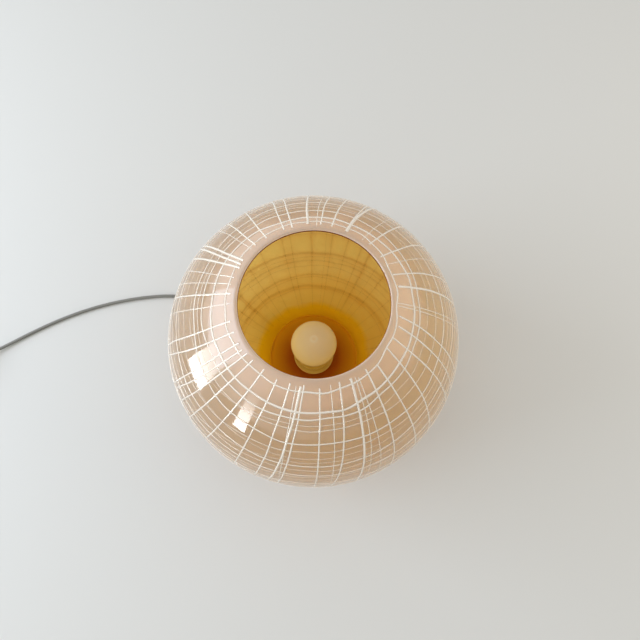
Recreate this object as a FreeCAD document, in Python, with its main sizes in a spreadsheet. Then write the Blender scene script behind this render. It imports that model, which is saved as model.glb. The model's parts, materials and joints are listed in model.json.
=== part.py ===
"""Table lamp: a blown glass body clamped on a spun steel base, with a screw lampholder and an opal bulb,
and a grey cord that carries a rocker switch and a two-pin plug.

Millimetres, +Z up. The origin is on the table under the middle of the lamp, and the viewer stands at -Y.
Pieces of the base are drawn with the cord leaving along +X, then turned about Z to the cord's azimuth."""

import FreeCAD, Part
import Sketcher
import math
import os
import re

Vector = FreeCAD.Vector
Rotation = FreeCAD.Rotation
Placement = FreeCAD.Placement
UP = Vector(0, 0, 1)

# Driving dimensions
SIZES = {
    # Blown glass body: two arcs that meet upright at the belly
    "belly_radius": 177.0,
    "shoulder_arc": 205.4,
    "lower_arc": 125.0,
    "glass_wall": 4.0,
    "rim_flatness": 0.2,
    "mouth_radius": 71.7,
    "foot_hole_radius": 54.0,
    # Felt, cover and spun pan of the base
    "felt_thickness": 2.0,
    "felt_outer_radius": 63.0,
    "felt_inner_radius": 38.0,
    "cover_thickness": 1.2,
    "cover_gap": 0.4,
    "pan_radius": 68.0,
    "pan_height": 20.0,
    "pan_corner": 4.0,
    "sheet_wall": 1.2,
    # Posts and screws that hold the cover
    "post_circle": 30.0,
    "post_radius": 4.0,
    "post_count": 3,
    "cover_screw_radius": 1.5,
    "cover_screw_length": 10.0,
    "cover_screw_head_radius": 3.0,
    "cover_screw_head_height": 1.3,
    "screw_clearance": 0.15,
    "thread_clearance": 0.05,
    # Clamping stack on the threaded tube
    "gasket_thickness": 2.0,
    "gasket_width": 11.0,
    "gasket_outer_radius": 63.0,
    "upper_gasket_width": 9.0,
    "upper_gasket_outer_radius": 64.0,
    "upper_gasket_thickness": 2.6,
    "seat_gap": 0.05,
    "plate_radius": 66.0,
    "plate_rim_height": 3.0,
    "tube_radius": 5.0,
    "tube_bore": 3.6,
    "tube_clearance": 0.1,
    "tube_tail": 3.0,
    "tube_grip_length": 4.5,
    "nut_flats": 14.0,
    "tube_nut_thickness": 4.0,
    "clamp_nut_thickness": 3.0,
    "washer_radius": 9.0,
    "washer_thickness": 0.8,
    # Cord grip in the pan's wall
    "cord_azimuth": 150.0,
    "cord_radius": 2.5,
    "cord_clearance": 0.1,
    "grip_height": 12.0,
    "grip_neck_radius": 5.0,
    "grip_neck_length": 20.0,
    "grip_flange_radius": 8.0,
    "grip_flange_thickness": 2.5,
    "grip_root_radius": 6.0,
    "grip_tip_radius": 3.7,
    "grip_relief_length": 29.5,
    "grip_nut_thickness": 4.0,
    "grip_nut_gap": 0.8,
    "grip_screw_radius": 1.5,
    "grip_screw_inset": 6.0,
    "grip_screw_head_radius": 2.4,
    "grip_screw_head_height": 1.6,
    "tail_length": 7.0,
    "lead_radius": 1.1,
    "lead_spacing": 2.6,
    "lead_floor_height": 8.0,
    "lead_gap": 0.2,
    "lead_drop_run": 12.0,
    "lead_drop_bend": 8.0,
    # Screw lampholder
    "holder_radius": 20.5,
    "holder_wall": 1.8,
    "holder_floor": 2.0,
    "holder_flat_radius": 13.0,
    "holder_cone_height": 7.5,
    "holder_cap_height": 15.5,
    "holder_boss_radius": 8.5,
    "holder_boss_height": 5.0,
    "holder_ledge": 2.2,
    "insulator_height": 9.5,
    "insulator_thickness": 4.0,
    "insulator_gap": 0.2,
    "contact_height": 17.5,
    "contact_thickness": 0.5,
    "contact_width": 6.0,
    "contact_foot": 8.5,
    "shell_bore": 13.3,
    "shell_wall": 0.5,
    "shell_flange_bore": 9.5,
    "shell_length": 28.0,
    "skirt_radius": 19.75,
    "skirt_bore": 15.2,
    "skirt_lip_bore": 14.2,
    "skirt_lip_height": 1.5,
    "skirt_length": 26.5,
    "spigot_gap": 0.2,
    "spigot_relief": 0.1,
    "ring_radius": 28.95,
    "ring_flange": 2.5,
    "ring_hub_radius": 23.0,
    "ring_hub_height": 8.0,
    "ring_gap": 0.2,
    "ring_edge_width": 2.2,
    "ring_edge_height": 1.0,
    "ring_flute_radius": 0.8,
    "ring_flute_count": 30,
    "terminal_width": 5.2,
    "terminal_depth": 3.6,
    "terminal_height": 4.3,
    "terminal_offset": 11.1,
    "terminal_bore": 1.25,
    "terminal_lead_drop": 2.3,
    "terminal_screw_radius": 1.0,
    "terminal_screw_head_radius": 1.7,
    "terminal_screw_head_height": 1.2,
    # Opal bulb with a screw cap
    "bulb_length": 108.0,
    "globe_radius": 30.0,
    "globe_wall": 0.8,
    "neck_radius": 12.4,
    "neck_arc": 50.0,
    "neck_depth": 6.0,
    "contact_gap": 0.1,
    "tip_radius": 4.6,
    "tip_thickness": 1.3,
    "bulb_insulator_radius": 8.6,
    "bulb_insulator_foot": 5.4,
    "bulb_insulator_height": 3.7,
    "bulb_insulator_edge": 1.0,
    "bulb_cap_radius": 13.0,
    "bulb_cap_wall": 0.45,
    "bulb_cap_height": 26.0,
    "bulb_cap_hole_gap": 0.2,
    "bulb_cap_lip": 0.8,
    "bulb_cap_cone": 3.4,
    "stem_flare_radius": 11.4,
    "stem_flare_height": 21.0,
    "stem_flare_edge": 1.0,
    "stem_foot_radius": 4.0,
    "stem_foot_height": 30.0,
    "stem_top_radius": 3.2,
    "stem_height": 50.0,
    "support_radius": 0.4,
    "support_foot": 1.5,
    "support_gap": 0.6,
    "support_spread": 11.0,
    "filament_radius": 0.35,
    "filament_rise": 3.0,
    "filament_gap": 1.1,
    # Inline rocker switch, in its own frame along the cord
    "switch_x": -548.0,
    "switch_y": -52.0,
    "switch_heading": 216.0,
    "switch_half_length": 33.0,
    "switch_half_width": 14.0,
    "switch_half_end": 6.5,
    "switch_shoulder": 20.0,
    "switch_height": 20.0,
    "switch_parting": 9.0,
    "switch_wall": 1.8,
    "switch_round": 2.5,
    "switch_cord_gap": 0.2,
    "switch_screw_x": 17.0,
    "switch_screw_y": 8.4,
    "switch_post_radius": 3.0,
    "switch_screw_radius": 1.15,
    "switch_screw_length": 12.0,
    "switch_screw_head_radius": 2.4,
    "switch_screw_head_height": 1.6,
    "switch_screw_sink": 2.0,
    "rocker_radius": 11.0,
    "rocker_half_width": 6.0,
    "rocker_gap": 0.4,
    "rocker_pivot_height": 15.5,
    "rocker_dip": 3.5,
    "rocker_top_angle": 30.0,
    "rocker_skirt_angle": 10.0,
    "rocker_belly": 3.5,
    "rocker_belly_half": 3.0,
    "rocker_tilt": 8.0,
    "rocker_pin_radius": 1.2,
    "rocker_pin_clearance": 0.05,
    "pin_seat_clearance": 0.02,
    "ear_half_length": 3.5,
    "ear_wall": 2.2,
    "ear_drop": 5.5,
    "leaf_thickness": 0.5,
    "leaf_half_width": 3.0,
    "leaf_end": 22.0,
    "leaf_contact_x": 8.0,
    "leaf_contact_rise": 2.5,
    "leaf_spring_rise": 3.6,
    # Coil of the cord that is put away, with its tie
    "cord_rest": 2.6,
    "cord_straight": 28.0,
    "coil_radius": 30.0,
    "coil_pitch": 5.6,
    "coil_lift": 1.1,
    "coil_whole_turns": 6,
    "coil_exit_angle": 180.0,
    "coil_approach": 90.0,
    "tie_angle": 300.0,
    "tie_width": 10.0,
    "tie_wall": 0.8,
    "tie_gap": 0.9,
    "tie_floor_gap": 0.2,
    # Two-pin plug, in its own frame with the pins along +X
    "plug_x": -638.5,
    "plug_y": -192.0,
    "plug_thickness": 13.7,
    "plug_length": 36.0,
    "plug_half_width": 17.65,
    "plug_half_back": 9.0,
    "plug_half_front": 14.5,
    "plug_waist": 18.0,
    "plug_nose": 4.0,
    "plug_round": 2.0,
    "plug_relief_length": 26.0,
    "plug_relief_root": 5.4,
    "plug_relief_tip": 3.5,
    "pin_spacing": 18.6,
    "pin_radius": 2.0,
    "pin_root_radius": 1.4,
    "pin_length": 19.0,
    "pin_root_depth": 9.0,
    "pin_round": 1.0,
    "sleeve_length": 10.0,
    "sleeve_radius": 1.8,
    "sleeve_clearance": 0.03,
}


def wall_level(radius, arc):
    """The height at a radius of an arc that follows the glass's lower wall."""
    return f"({BELLY} - sqrt({arc} ^ 2 - ({radius} - {FOOT_CENTRE}) ^ 2))"


# Levels and places that several pieces share, each worked out from the sizes
COVER_TOP = "(felt_thickness + cover_thickness)"
PAN_TOP = "(felt_thickness + pan_height)"
PAN_CEILING = f"({PAN_TOP} - sheet_wall)"
GLASS_SEAT = f"({PAN_TOP} + gasket_thickness)"
BELLY = f"({GLASS_SEAT} + lower_arc)"
FOOT_CENTRE = "(belly_radius - lower_arc)"
SHOULDER_CENTRE = "(belly_radius - shoulder_arc)"
GASKET_INNER = "(gasket_outer_radius - gasket_width)"
UPPER_GASKET_INNER = "(upper_gasket_outer_radius - upper_gasket_width)"
INNER_LOWER_ARC = "(lower_arc - glass_wall)"
PLATE_BOTTOM = f"({wall_level('upper_gasket_outer_radius', INNER_LOWER_ARC)} + upper_gasket_thickness)"
PLATE_TOP = f"({PLATE_BOTTOM} + sheet_wall)"
CLAMP_WASHER_TOP = f"({PLATE_TOP} + washer_thickness)"
HOLDER_BOTTOM = f"({CLAMP_WASHER_TOP} + clamp_nut_thickness)"
TUBE_NUT_TOP = f"({PAN_CEILING} - washer_thickness)"
TUBE_NUT_BOTTOM = f"({TUBE_NUT_TOP} - tube_nut_thickness)"
TUBE_BOTTOM = f"({TUBE_NUT_BOTTOM} - tube_tail)"
TUBE_TOP = f"({HOLDER_BOTTOM} + tube_grip_length)"
TUBE_HOLE = "(tube_radius + tube_clearance)"
GRIP_HOLE = "(grip_neck_radius + tube_clearance)"
GRIP_ROOT = "(pan_radius + grip_flange_thickness)"
GRIP_TIP = f"({GRIP_ROOT} + grip_relief_length)"
GRIP_INNER = "(pan_radius - grip_neck_length)"
TAIL_END = f"({GRIP_INNER} - tail_length)"
CORD_BORE = "(cord_radius + cord_clearance)"
HOLDER_RIM = f"({HOLDER_BOTTOM} + holder_cap_height)"
HOLDER_BORE = "(holder_radius - holder_wall)"
INSULATOR_BOTTOM = f"({HOLDER_BOTTOM} + insulator_height)"
INSULATOR_TOP = f"({INSULATOR_BOTTOM} + insulator_thickness)"
LEAD_LEVEL = f"({INSULATOR_BOTTOM} - terminal_lead_drop)"
BULB_TIP = f"({HOLDER_BOTTOM} + contact_height + contact_gap)"
GLOBE_CENTRE = f"({BULB_TIP} + bulb_length - globe_radius)"
BULB_CAP_TOP = f"({BULB_TIP} + bulb_cap_height)"
STEM_TOP = f"({BULB_TIP} + stem_height)"
COIL_LEVEL = "(cord_radius + coil_lift)"
COIL_SWEEP = "(coil_exit_angle - (switch_heading - 90) + 360 * coil_whole_turns)"
COIL_OUTER = f"(coil_radius + coil_pitch * {COIL_SWEEP} / 1440)"
PLUG_AXIS = "(plug_thickness / 2)"
PLUG_FRONT = "(plug_relief_length + plug_length)"

doc = FreeCAD.newDocument("TableLamp")
sheet = doc.addObject("Spreadsheet::Sheet", "Sizes")
for row, (alias, number) in enumerate(SIZES.items(), start=1):
    sheet.set(f"A{row}", alias)
    sheet.set(f"B{row}", str(number))
    sheet.setAlias(f"B{row}", alias)
doc.recompute()

# Shares and limits of the tubes
CORD_BEND_SHARE = 0.45
LEAD_BEND_SHARE = 0.9
LEAST_COIL_GAP = 0.4
EDGE_REACH = 0.01

NAMES = re.compile(r"\b(" + "|".join(SIZES) + r")\b")
pieces = []


# Sizes, sketches and features
def bound(text):
    """The expression for a text written with the names of sizes."""
    return NAMES.sub(r"Sizes.\1", text)


def value(text):
    """The number that a text written with the names of sizes comes to."""
    return float(sheet.evalExpression(bound(text)))


def keep(piece, label):
    """Lists an object of the document as a sub-part under its own name."""
    piece.Label = label
    pieces.append(piece)
    return piece


def place(piece, x="0", y="0", z="0", turn=None):
    """Puts a piece at a point given by sizes, turned by a rotation."""
    piece.Placement = Placement(Vector(value(x), value(y), value(z)), turn or Rotation())
    for axis, text in zip("xyz", (x, y, z)):
        piece.setExpression(f"Placement.Base.{axis}", bound(text))
    return piece


def to_cord(piece, z="0", tilt=None):
    """Turns a piece drawn along +X to the side where the cord leaves."""
    heading = Rotation(UP, value("cord_azimuth"))
    return place(piece, z=z, turn=heading * tilt if tilt else heading)


def to_switch(piece, z="0", tilt=None):
    """Sets a piece of the switch in line with the cord."""
    heading = Rotation(UP, value("switch_heading"))
    return place(piece, "switch_x", "switch_y", z, heading * tilt if tilt else heading)


def to_plug(piece):
    """Sets a piece of the plug on the table with its pins along -Y."""
    return place(piece, "plug_x", "plug_y", PLUG_AXIS, Rotation(UP, -90))


def new_body(label):
    return keep(doc.addObject("PartDesign::Body", label), label)


def origin(body, role):
    return next(item for item in body.Origin.OriginFeatures if item.Role == role)


def new_sketch(body, plane="XY_Plane", level=None):
    """A sketch on one of the body's own planes, raised along the plane's normal by a level."""
    sketch = body.newObject("Sketcher::SketchObject", f"{body.Name}_sketch")
    sketch.AttachmentSupport = [(origin(body, plane), "")]
    sketch.MapMode = "FlatFace"
    if level:
        sketch.setExpression("AttachmentOffset.Base.z", bound(level))
    return sketch


def pin_point(sketch, geometry, point, x, y):
    """Holds a point of a sketch at coordinates given by sizes."""
    for kind, text in (("DistanceX", x), ("DistanceY", y)):
        number = sketch.addConstraint(
            Sketcher.Constraint(kind, -1, 1, geometry, point, value(text))
        )
        sketch.setExpression(f"Constraints[{number}]", bound(text))


def hold_radius(sketch, geometry, text):
    number = sketch.addConstraint(Sketcher.Constraint("Radius", geometry, value(text)))
    sketch.setExpression(f"Constraints[{number}]", bound(text))


def outline(sketch, corners):
    """Draws a closed outline. A corner is (x, y), or (x, y, radius) where an arc leaves it: the arc turns
    left, or right where the radius starts with a minus sign."""
    points = [Vector(value(corner[0]), value(corner[1]), 0) for corner in corners]
    edges = []
    for start, finish, corner in zip(points, points[1:] + points[:1], corners):
        if len(corner) == 2:
            edges.append((sketch.addGeometry(Part.LineSegment(start, finish)), 1, 2))
            continue
        right = corner[2].startswith("-")
        radius = value(corner[2].lstrip("-"))
        chord = finish - start
        side = Vector(chord.y, -chord.x, 0) if right else Vector(-chord.y, chord.x, 0)
        rise = math.sqrt(radius**2 - (chord.Length / 2) ** 2)
        centre = (start + finish) / 2 + side.normalize() * rise
        first, last = (finish, start) if right else (start, finish)
        angles = [math.atan2(point.y - centre.y, point.x - centre.x) for point in (first, last)]
        arc = Part.ArcOfCircle(Part.Circle(centre, UP, radius), *angles)
        edges.append((sketch.addGeometry(arc), 2, 1) if right else (sketch.addGeometry(arc), 1, 2))
    for edge, following in zip(edges, edges[1:] + edges[:1]):
        sketch.addConstraint(
            Sketcher.Constraint("Coincident", edge[0], edge[2], following[0], following[1])
        )
    for (geometry, start, _), corner in zip(edges, corners):
        pin_point(sketch, geometry, start, corner[0], corner[1])
        if len(corner) == 3:
            hold_radius(sketch, geometry, corner[2].lstrip("-"))
    return sketch


def disc(sketch, x, y, radius):
    """Draws a circle at a point given by sizes."""
    centre = Vector(value(x), value(y), 0)
    geometry = sketch.addGeometry(Part.Circle(centre, UP, value(radius)))
    pin_point(sketch, geometry, 3, x, y)
    hold_radius(sketch, geometry, radius)
    return sketch


def spin(body, corners, axis="V_Axis", line=None, plane="XZ_Plane"):
    """Turns an outline about an axis of its plane, or about a line through two points given by sizes."""
    sketch = outline(new_sketch(body, plane), corners)
    if line:
        ends = [Vector(value(x), value(y), 0) for x, y in line]
        centre_line = sketch.addGeometry(Part.LineSegment(*ends), True)
        for number, (x, y) in enumerate(line, start=1):
            pin_point(sketch, centre_line, number, x, y)
        axis = "Axis0"
    feature = body.newObject("PartDesign::Revolution", f"{body.Name}_spin")
    feature.Profile = sketch
    feature.ReferenceAxis = (sketch, [axis])
    feature.Angle = 360
    doc.recompute()
    return feature


def turned(label, corners, axis="V_Axis"):
    body = new_body(label)
    spin(body, corners, axis)
    return body


def pad(body, sketch, length, symmetric=False):
    feature = body.newObject("PartDesign::Pad", f"{body.Name}_pad")
    feature.Profile = sketch
    feature.SideType = "Symmetric" if symmetric else "One side"
    feature.setExpression("Length", bound(length))
    doc.recompute()
    return feature


def pocket(body, sketch, length=None, upward=False, both=False):
    """Cuts a sketch out of a body, by a length or right through, and checks that it took something away."""
    before = body.Shape.Volume
    feature = body.newObject("PartDesign::Pocket", f"{body.Name}_pocket")
    feature.Profile = sketch
    feature.SideType = "Symmetric" if both else "One side"
    feature.Reversed = upward
    if length:
        feature.setExpression("Length", bound(length))
    else:
        feature.Type = "ThroughAll"
    doc.recompute()
    if body.Shape.Volume > before - 1e-6:
        raise ValueError(f"a cut in {body.Label} takes nothing away")
    return feature


def repeat(body, feature, count):
    """Repeats a feature round the body's Z axis."""
    pattern = body.newObject("PartDesign::PolarPattern", f"{body.Name}_pattern")
    pattern.Originals = [feature]
    pattern.Axis = (origin(body, "Z_Axis"), [""])
    pattern.Angle = 360
    pattern.setExpression("Occurrences", bound(count))
    body.Tip = pattern
    doc.recompute()
    return pattern


def round_edges(body, base, chosen, radius):
    """Rounds the edges of a feature that a test picks."""
    names = [f"Edge{number}" for number, edge in enumerate(base.Shape.Edges, start=1) if chosen(edge)]
    feature = body.newObject("PartDesign::Fillet", f"{body.Name}_round")
    feature.Base = (base, names)
    feature.setExpression("Radius", bound(radius))
    body.Tip = feature
    doc.recompute()
    return feature


def nut(label, thickness):
    """A hexagonal nut for the threaded tube, standing on the origin."""
    prism = doc.addObject("Part::Prism", f"{label}_prism")
    prism.Polygon = 6
    prism.setExpression("Circumradius", bound("nut_flats / 2 / cos(30)"))
    prism.setExpression("Height", bound(thickness))
    bore = doc.addObject("Part::Cylinder", f"{label}_bore")
    bore.setExpression("Radius", bound("tube_radius + thread_clearance"))
    bore.setExpression("Height", bound(thickness))
    cut = doc.addObject("Part::Cut", label)
    cut.Base = prism
    cut.Tool = bore
    doc.recompute()
    return keep(cut, label)


def shaped(label, shape):
    """A piece whose shape is made by a formula, such as a tube along a route."""
    piece = keep(doc.addObject("Part::Feature", label), label)
    piece.Shape = shape
    return piece


def bend_route(points, radii):
    """The edges of straight runs joined by tangent arcs, one radius for each inner point."""
    edges = []
    last = points[0]
    for before, corner, after, radius in zip(points, points[1:], points[2:], radii):
        into = (corner - before).normalize()
        out = (after - corner).normalize()
        half_turn = into.getAngle(out) / 2
        setback = radius * math.tan(half_turn)
        start = corner - into * setback
        finish = corner + out * setback
        inward = (out - into).normalize()
        middle = corner + inward * (radius / math.cos(half_turn) - radius)
        edges.append(Part.LineSegment(last, start).toShape())
        edges.append(Part.Arc(start, middle, finish).toShape())
        last = finish
    edges.append(Part.LineSegment(last, points[-1]).toShape())
    return edges


def sweep(edges, radius, label):
    """A round tube along edges, whose volume is compared with its section times its length."""
    path = Part.Wire(edges)
    start = edges[0].valueAt(edges[0].FirstParameter)
    heading = edges[0].tangentAt(edges[0].FirstParameter)
    section = Part.Wire([Part.Circle(start, heading, radius).toShape()])
    tube = path.makePipeShell([section], True, False)
    share = tube.Volume / (math.pi * radius**2 * path.Length)
    print(f"{label}: {path.Length:.1f} mm long, volume {share:.4f} of section times length")
    if not tube.isValid() or abs(share - 1) > 0.01:
        raise ValueError(f"the tube of {label} is not sound")
    return tube


def cord_tube(label, points):
    """A free stretch of cord, each bend as large as its two runs allow."""
    radii = []
    for before, corner, after in zip(points, points[1:], points[2:]):
        half_turn = (corner - before).getAngle(after - corner) / 2
        shorter = min((corner - before).Length, (after - corner).Length)
        radii.append(CORD_BEND_SHARE * shorter / math.tan(half_turn))
    print(f"{label}: bend radii", [round(radius) for radius in radii])
    return shaped(label, sweep(bend_route(points, radii), value("cord_radius"), label))


# Glass body
def glass_body():
    mouth_run = f"((mouth_radius + glass_wall / 2 - {SHOULDER_CENTRE}) / (shoulder_arc - glass_wall / 2))"
    mouth_rise = f"sqrt(1 - {mouth_run} ^ 2)"
    inner_shoulder = "(shoulder_arc - glass_wall)"
    return turned("glass_body", [
        ("foot_hole_radius", wall_level("foot_hole_radius", "lower_arc"), "lower_arc"),
        ("belly_radius", BELLY, "shoulder_arc"),
        (f"{SHOULDER_CENTRE} + shoulder_arc * {mouth_run}", f"{BELLY} + shoulder_arc * {mouth_rise}",
         "glass_wall / 2 + rim_flatness"),
        (f"{SHOULDER_CENTRE} + {inner_shoulder} * {mouth_run}", f"{BELLY} + {inner_shoulder} * {mouth_rise}",
         f"-{inner_shoulder}"),
        ("belly_radius - glass_wall", BELLY, f"-{INNER_LOWER_ARC}"),
        ("foot_hole_radius", wall_level("foot_hole_radius", INNER_LOWER_ARC)),
    ])


# Base: felt, cover, spun pan, posts and screws
def felt_pad():
    return turned("felt_pad", [
        ("felt_inner_radius", "0"),
        ("felt_outer_radius", "0"),
        ("felt_outer_radius", "felt_thickness"),
        ("felt_inner_radius", "felt_thickness"),
    ])


def base_cover():
    edge = "(pan_radius - sheet_wall - cover_gap)"
    body = turned("base_cover", [
        ("0", "felt_thickness"),
        (edge, "felt_thickness"),
        (edge, COVER_TOP),
        ("0", COVER_TOP),
    ])
    hole = disc(new_sketch(body), "-post_circle", "0", "cover_screw_radius + screw_clearance")
    repeat(body, pocket(body, hole, upward=True), "post_count")
    return to_cord(body)


def base_pan():
    inner = "(pan_radius - sheet_wall)"
    inner_corner = "(pan_corner - sheet_wall)"
    body = turned("base_pan", [
        (inner, "felt_thickness"),
        ("pan_radius", "felt_thickness"),
        ("pan_radius", f"{PAN_TOP} - pan_corner", "pan_corner"),
        ("pan_radius - pan_corner", PAN_TOP),
        (TUBE_HOLE, PAN_TOP),
        (TUBE_HOLE, PAN_CEILING),
        ("pan_radius - pan_corner", PAN_CEILING, f"-{inner_corner}"),
        (inner, f"{PAN_TOP} - pan_corner"),
    ])
    pocket(body, disc(new_sketch(body, "YZ_Plane"), "0", "grip_height", GRIP_HOLE), upward=True)
    return to_cord(body)


def cover_posts():
    body = new_body("cover_posts")
    post = disc(new_sketch(body, level=COVER_TOP), "-post_circle", "0", "post_radius")
    post = disc(post, "-post_circle", "0", "cover_screw_radius + thread_clearance")
    repeat(body, pad(body, post, f"{PAN_CEILING} - {COVER_TOP}"), "post_count")
    return to_cord(body)


def cover_screws():
    body = new_body("cover_screws")
    head = "felt_thickness - cover_screw_head_height"
    screw = spin(body, [
        ("-post_circle", head),
        ("-post_circle + cover_screw_head_radius", head),
        ("-post_circle + cover_screw_head_radius", "felt_thickness"),
        ("-post_circle + cover_screw_radius", "felt_thickness"),
        ("-post_circle + cover_screw_radius", "felt_thickness + cover_screw_length"),
        ("-post_circle", "felt_thickness + cover_screw_length"),
    ], line=[("-post_circle", "0"), ("-post_circle", "1")])
    repeat(body, screw, "post_count")
    return to_cord(body)


# Clamping stack: the glass is held between two gaskets, the pan and a plate
def lower_gasket():
    arc = "(lower_arc + seat_gap)"
    return turned("lower_gasket", [
        (GASKET_INNER, PAN_TOP),
        ("gasket_outer_radius", PAN_TOP),
        ("gasket_outer_radius", wall_level("gasket_outer_radius", arc), f"-{arc}"),
        (GASKET_INNER, wall_level(GASKET_INNER, arc)),
    ])


def upper_gasket():
    arc = f"({INNER_LOWER_ARC} - seat_gap)"
    return turned("upper_gasket", [
        (UPPER_GASKET_INNER, wall_level(UPPER_GASKET_INNER, arc), arc),
        ("upper_gasket_outer_radius", wall_level("upper_gasket_outer_radius", arc)),
        ("upper_gasket_outer_radius", PLATE_BOTTOM),
        (UPPER_GASKET_INNER, PLATE_BOTTOM),
    ])


def clamp_plate():
    return turned("clamp_plate", [
        (TUBE_HOLE, PLATE_BOTTOM),
        ("plate_radius", PLATE_BOTTOM),
        ("plate_radius", f"{PLATE_BOTTOM} + plate_rim_height"),
        ("plate_radius - sheet_wall", f"{PLATE_BOTTOM} + plate_rim_height"),
        ("plate_radius - sheet_wall", PLATE_TOP),
        (TUBE_HOLE, PLATE_TOP),
    ])


def washer(label, level):
    return turned(label, [
        (TUBE_HOLE, level),
        ("washer_radius", level),
        ("washer_radius", f"{level} + washer_thickness"),
        (TUBE_HOLE, f"{level} + washer_thickness"),
    ])


def threaded_tube():
    return turned("threaded_tube", [
        ("tube_bore", TUBE_BOTTOM),
        ("tube_radius", TUBE_BOTTOM),
        ("tube_radius", TUBE_TOP),
        ("tube_bore", TUBE_TOP),
    ])


# Cord entry: a grip with a tapered relief, its nut and screw, and the cord's inner end
def cord_grip():
    body = turned("cord_grip", [
        (GRIP_INNER, CORD_BORE),
        (GRIP_TIP, CORD_BORE),
        (GRIP_TIP, "grip_tip_radius"),
        (GRIP_ROOT, "grip_root_radius"),
        (GRIP_ROOT, "grip_flange_radius"),
        ("pan_radius", "grip_flange_radius"),
        ("pan_radius", "grip_neck_radius"),
        (GRIP_INNER, "grip_neck_radius"),
    ], axis="H_Axis")
    hole = disc(new_sketch(body), f"{GRIP_INNER} + grip_screw_inset", "0",
                "grip_screw_radius + thread_clearance")
    pocket(body, hole, upward=True)
    return to_cord(body, "grip_height")


def cord_grip_nut():
    piece = nut("cord_grip_nut", "grip_nut_thickness")
    along = Rotation(Vector(0, 1, 0), 90)
    heading = Rotation(UP, value("cord_azimuth"))
    reach = value("pan_radius - sheet_wall - grip_nut_gap - grip_nut_thickness")
    piece.Placement = Placement(heading.multVec(Vector(reach, 0, 0)), heading * along)
    piece.setExpression("Placement.Base.z", bound("grip_height"))
    return piece


def cord_grip_screw():
    body = new_body("cord_grip_screw")
    middle = f"({GRIP_INNER} + grip_screw_inset)"
    foot = "cord_radius + thread_clearance"
    head_top = "grip_neck_radius + grip_screw_head_height"
    spin(body, [
        (middle, foot),
        (f"{middle} + grip_screw_radius", foot),
        (f"{middle} + grip_screw_radius", "grip_neck_radius"),
        (f"{middle} + grip_screw_head_radius", "grip_neck_radius"),
        (f"{middle} + grip_screw_head_radius", head_top),
        (middle, head_top),
    ], line=[(middle, "0"), (middle, "1")])
    return to_cord(body, "grip_height")


def cord_tail():
    return to_cord(turned("cord_tail", [
        (TAIL_END, "0"),
        (GRIP_TIP, "0"),
        (GRIP_TIP, "cord_radius"),
        (TAIL_END, "cord_radius"),
    ], axis="H_Axis"), "grip_height")


def lead(label, side):
    """One conductor: from the cord's end, down under the tube, up its bore and out to a terminal."""
    y = side * value("lead_spacing") / 2
    floor = value("lead_floor_height")
    level = value(LEAD_LEVEL)
    tail = value(f"{TAIL_END} - lead_gap")
    bend = value(TUBE_BOTTOM) - floor
    points = [
        Vector(tail, y, value("grip_height")),
        Vector(value("lead_drop_run"), y, floor),
        Vector(0, y, floor),
        Vector(0, y, level),
        Vector(0, side * value("terminal_offset"), level),
    ]
    top_bend = level - value(TUBE_TOP)
    radii = [value("lead_drop_bend"), bend, LEAD_BEND_SHARE * top_bend]
    return to_cord(shaped(label, sweep(bend_route(points, radii), value("lead_radius"), label)))


# Screw lampholder
def holder_cap():
    ledge = f"({HOLDER_BORE} - holder_ledge)"
    slope_foot = "(holder_flat_radius - holder_wall / 2)"
    return turned("holder_cap", [
        (TUBE_HOLE, HOLDER_BOTTOM),
        ("holder_flat_radius", HOLDER_BOTTOM),
        ("holder_radius", f"{HOLDER_BOTTOM} + holder_cone_height"),
        ("holder_radius", HOLDER_RIM),
        (HOLDER_BORE, HOLDER_RIM),
        (HOLDER_BORE, INSULATOR_BOTTOM),
        (ledge, INSULATOR_BOTTOM),
        (slope_foot, f"{HOLDER_BOTTOM} + holder_floor"),
        ("holder_boss_radius", f"{HOLDER_BOTTOM} + holder_floor"),
        ("holder_boss_radius", f"{HOLDER_BOTTOM} + holder_boss_height"),
        (TUBE_HOLE, f"{HOLDER_BOTTOM} + holder_boss_height"),
    ])


def holder_insulator():
    edge = f"({HOLDER_BORE} - insulator_gap)"
    return turned("holder_insulator", [
        ("0", INSULATOR_BOTTOM),
        (edge, INSULATOR_BOTTOM),
        (edge, INSULATOR_TOP),
        ("0", INSULATOR_TOP),
    ])


def screw_shell():
    outer = "(shell_bore + shell_wall)"
    return turned("screw_shell", [
        ("shell_flange_bore", INSULATOR_TOP),
        (outer, INSULATOR_TOP),
        (outer, f"{INSULATOR_TOP} + shell_length"),
        ("shell_bore", f"{INSULATOR_TOP} + shell_length"),
        ("shell_bore", f"{INSULATOR_TOP} + shell_wall"),
        ("shell_flange_bore", f"{INSULATOR_TOP} + shell_wall"),
    ])


def centre_contact():
    body = new_body("centre_contact")
    tip = f"({HOLDER_BOTTOM} + contact_height)"
    leaf = outline(new_sketch(body, "XZ_Plane"), [
        ("contact_foot", INSULATOR_TOP),
        ("contact_foot", f"{INSULATOR_TOP} + contact_thickness"),
        ("contact_foot / 2", f"{INSULATOR_TOP} + contact_thickness"),
        ("tip_radius / 4", tip),
        ("-tip_radius / 2", tip),
        ("-tip_radius / 2", f"{tip} - contact_thickness"),
        ("tip_radius / 4 - contact_thickness / 2", f"{tip} - contact_thickness"),
        ("contact_foot / 2 - contact_thickness / 2", INSULATOR_TOP),
    ])
    pad(body, leaf, "contact_width", symmetric=True)
    return to_cord(body)


def terminal_corners():
    inner = "(terminal_offset - terminal_depth / 2)"
    return [
        ("-terminal_width / 2", inner),
        ("terminal_width / 2", inner),
        ("terminal_width / 2", f"{inner} + terminal_depth"),
        ("-terminal_width / 2", f"{inner} + terminal_depth"),
    ]


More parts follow.
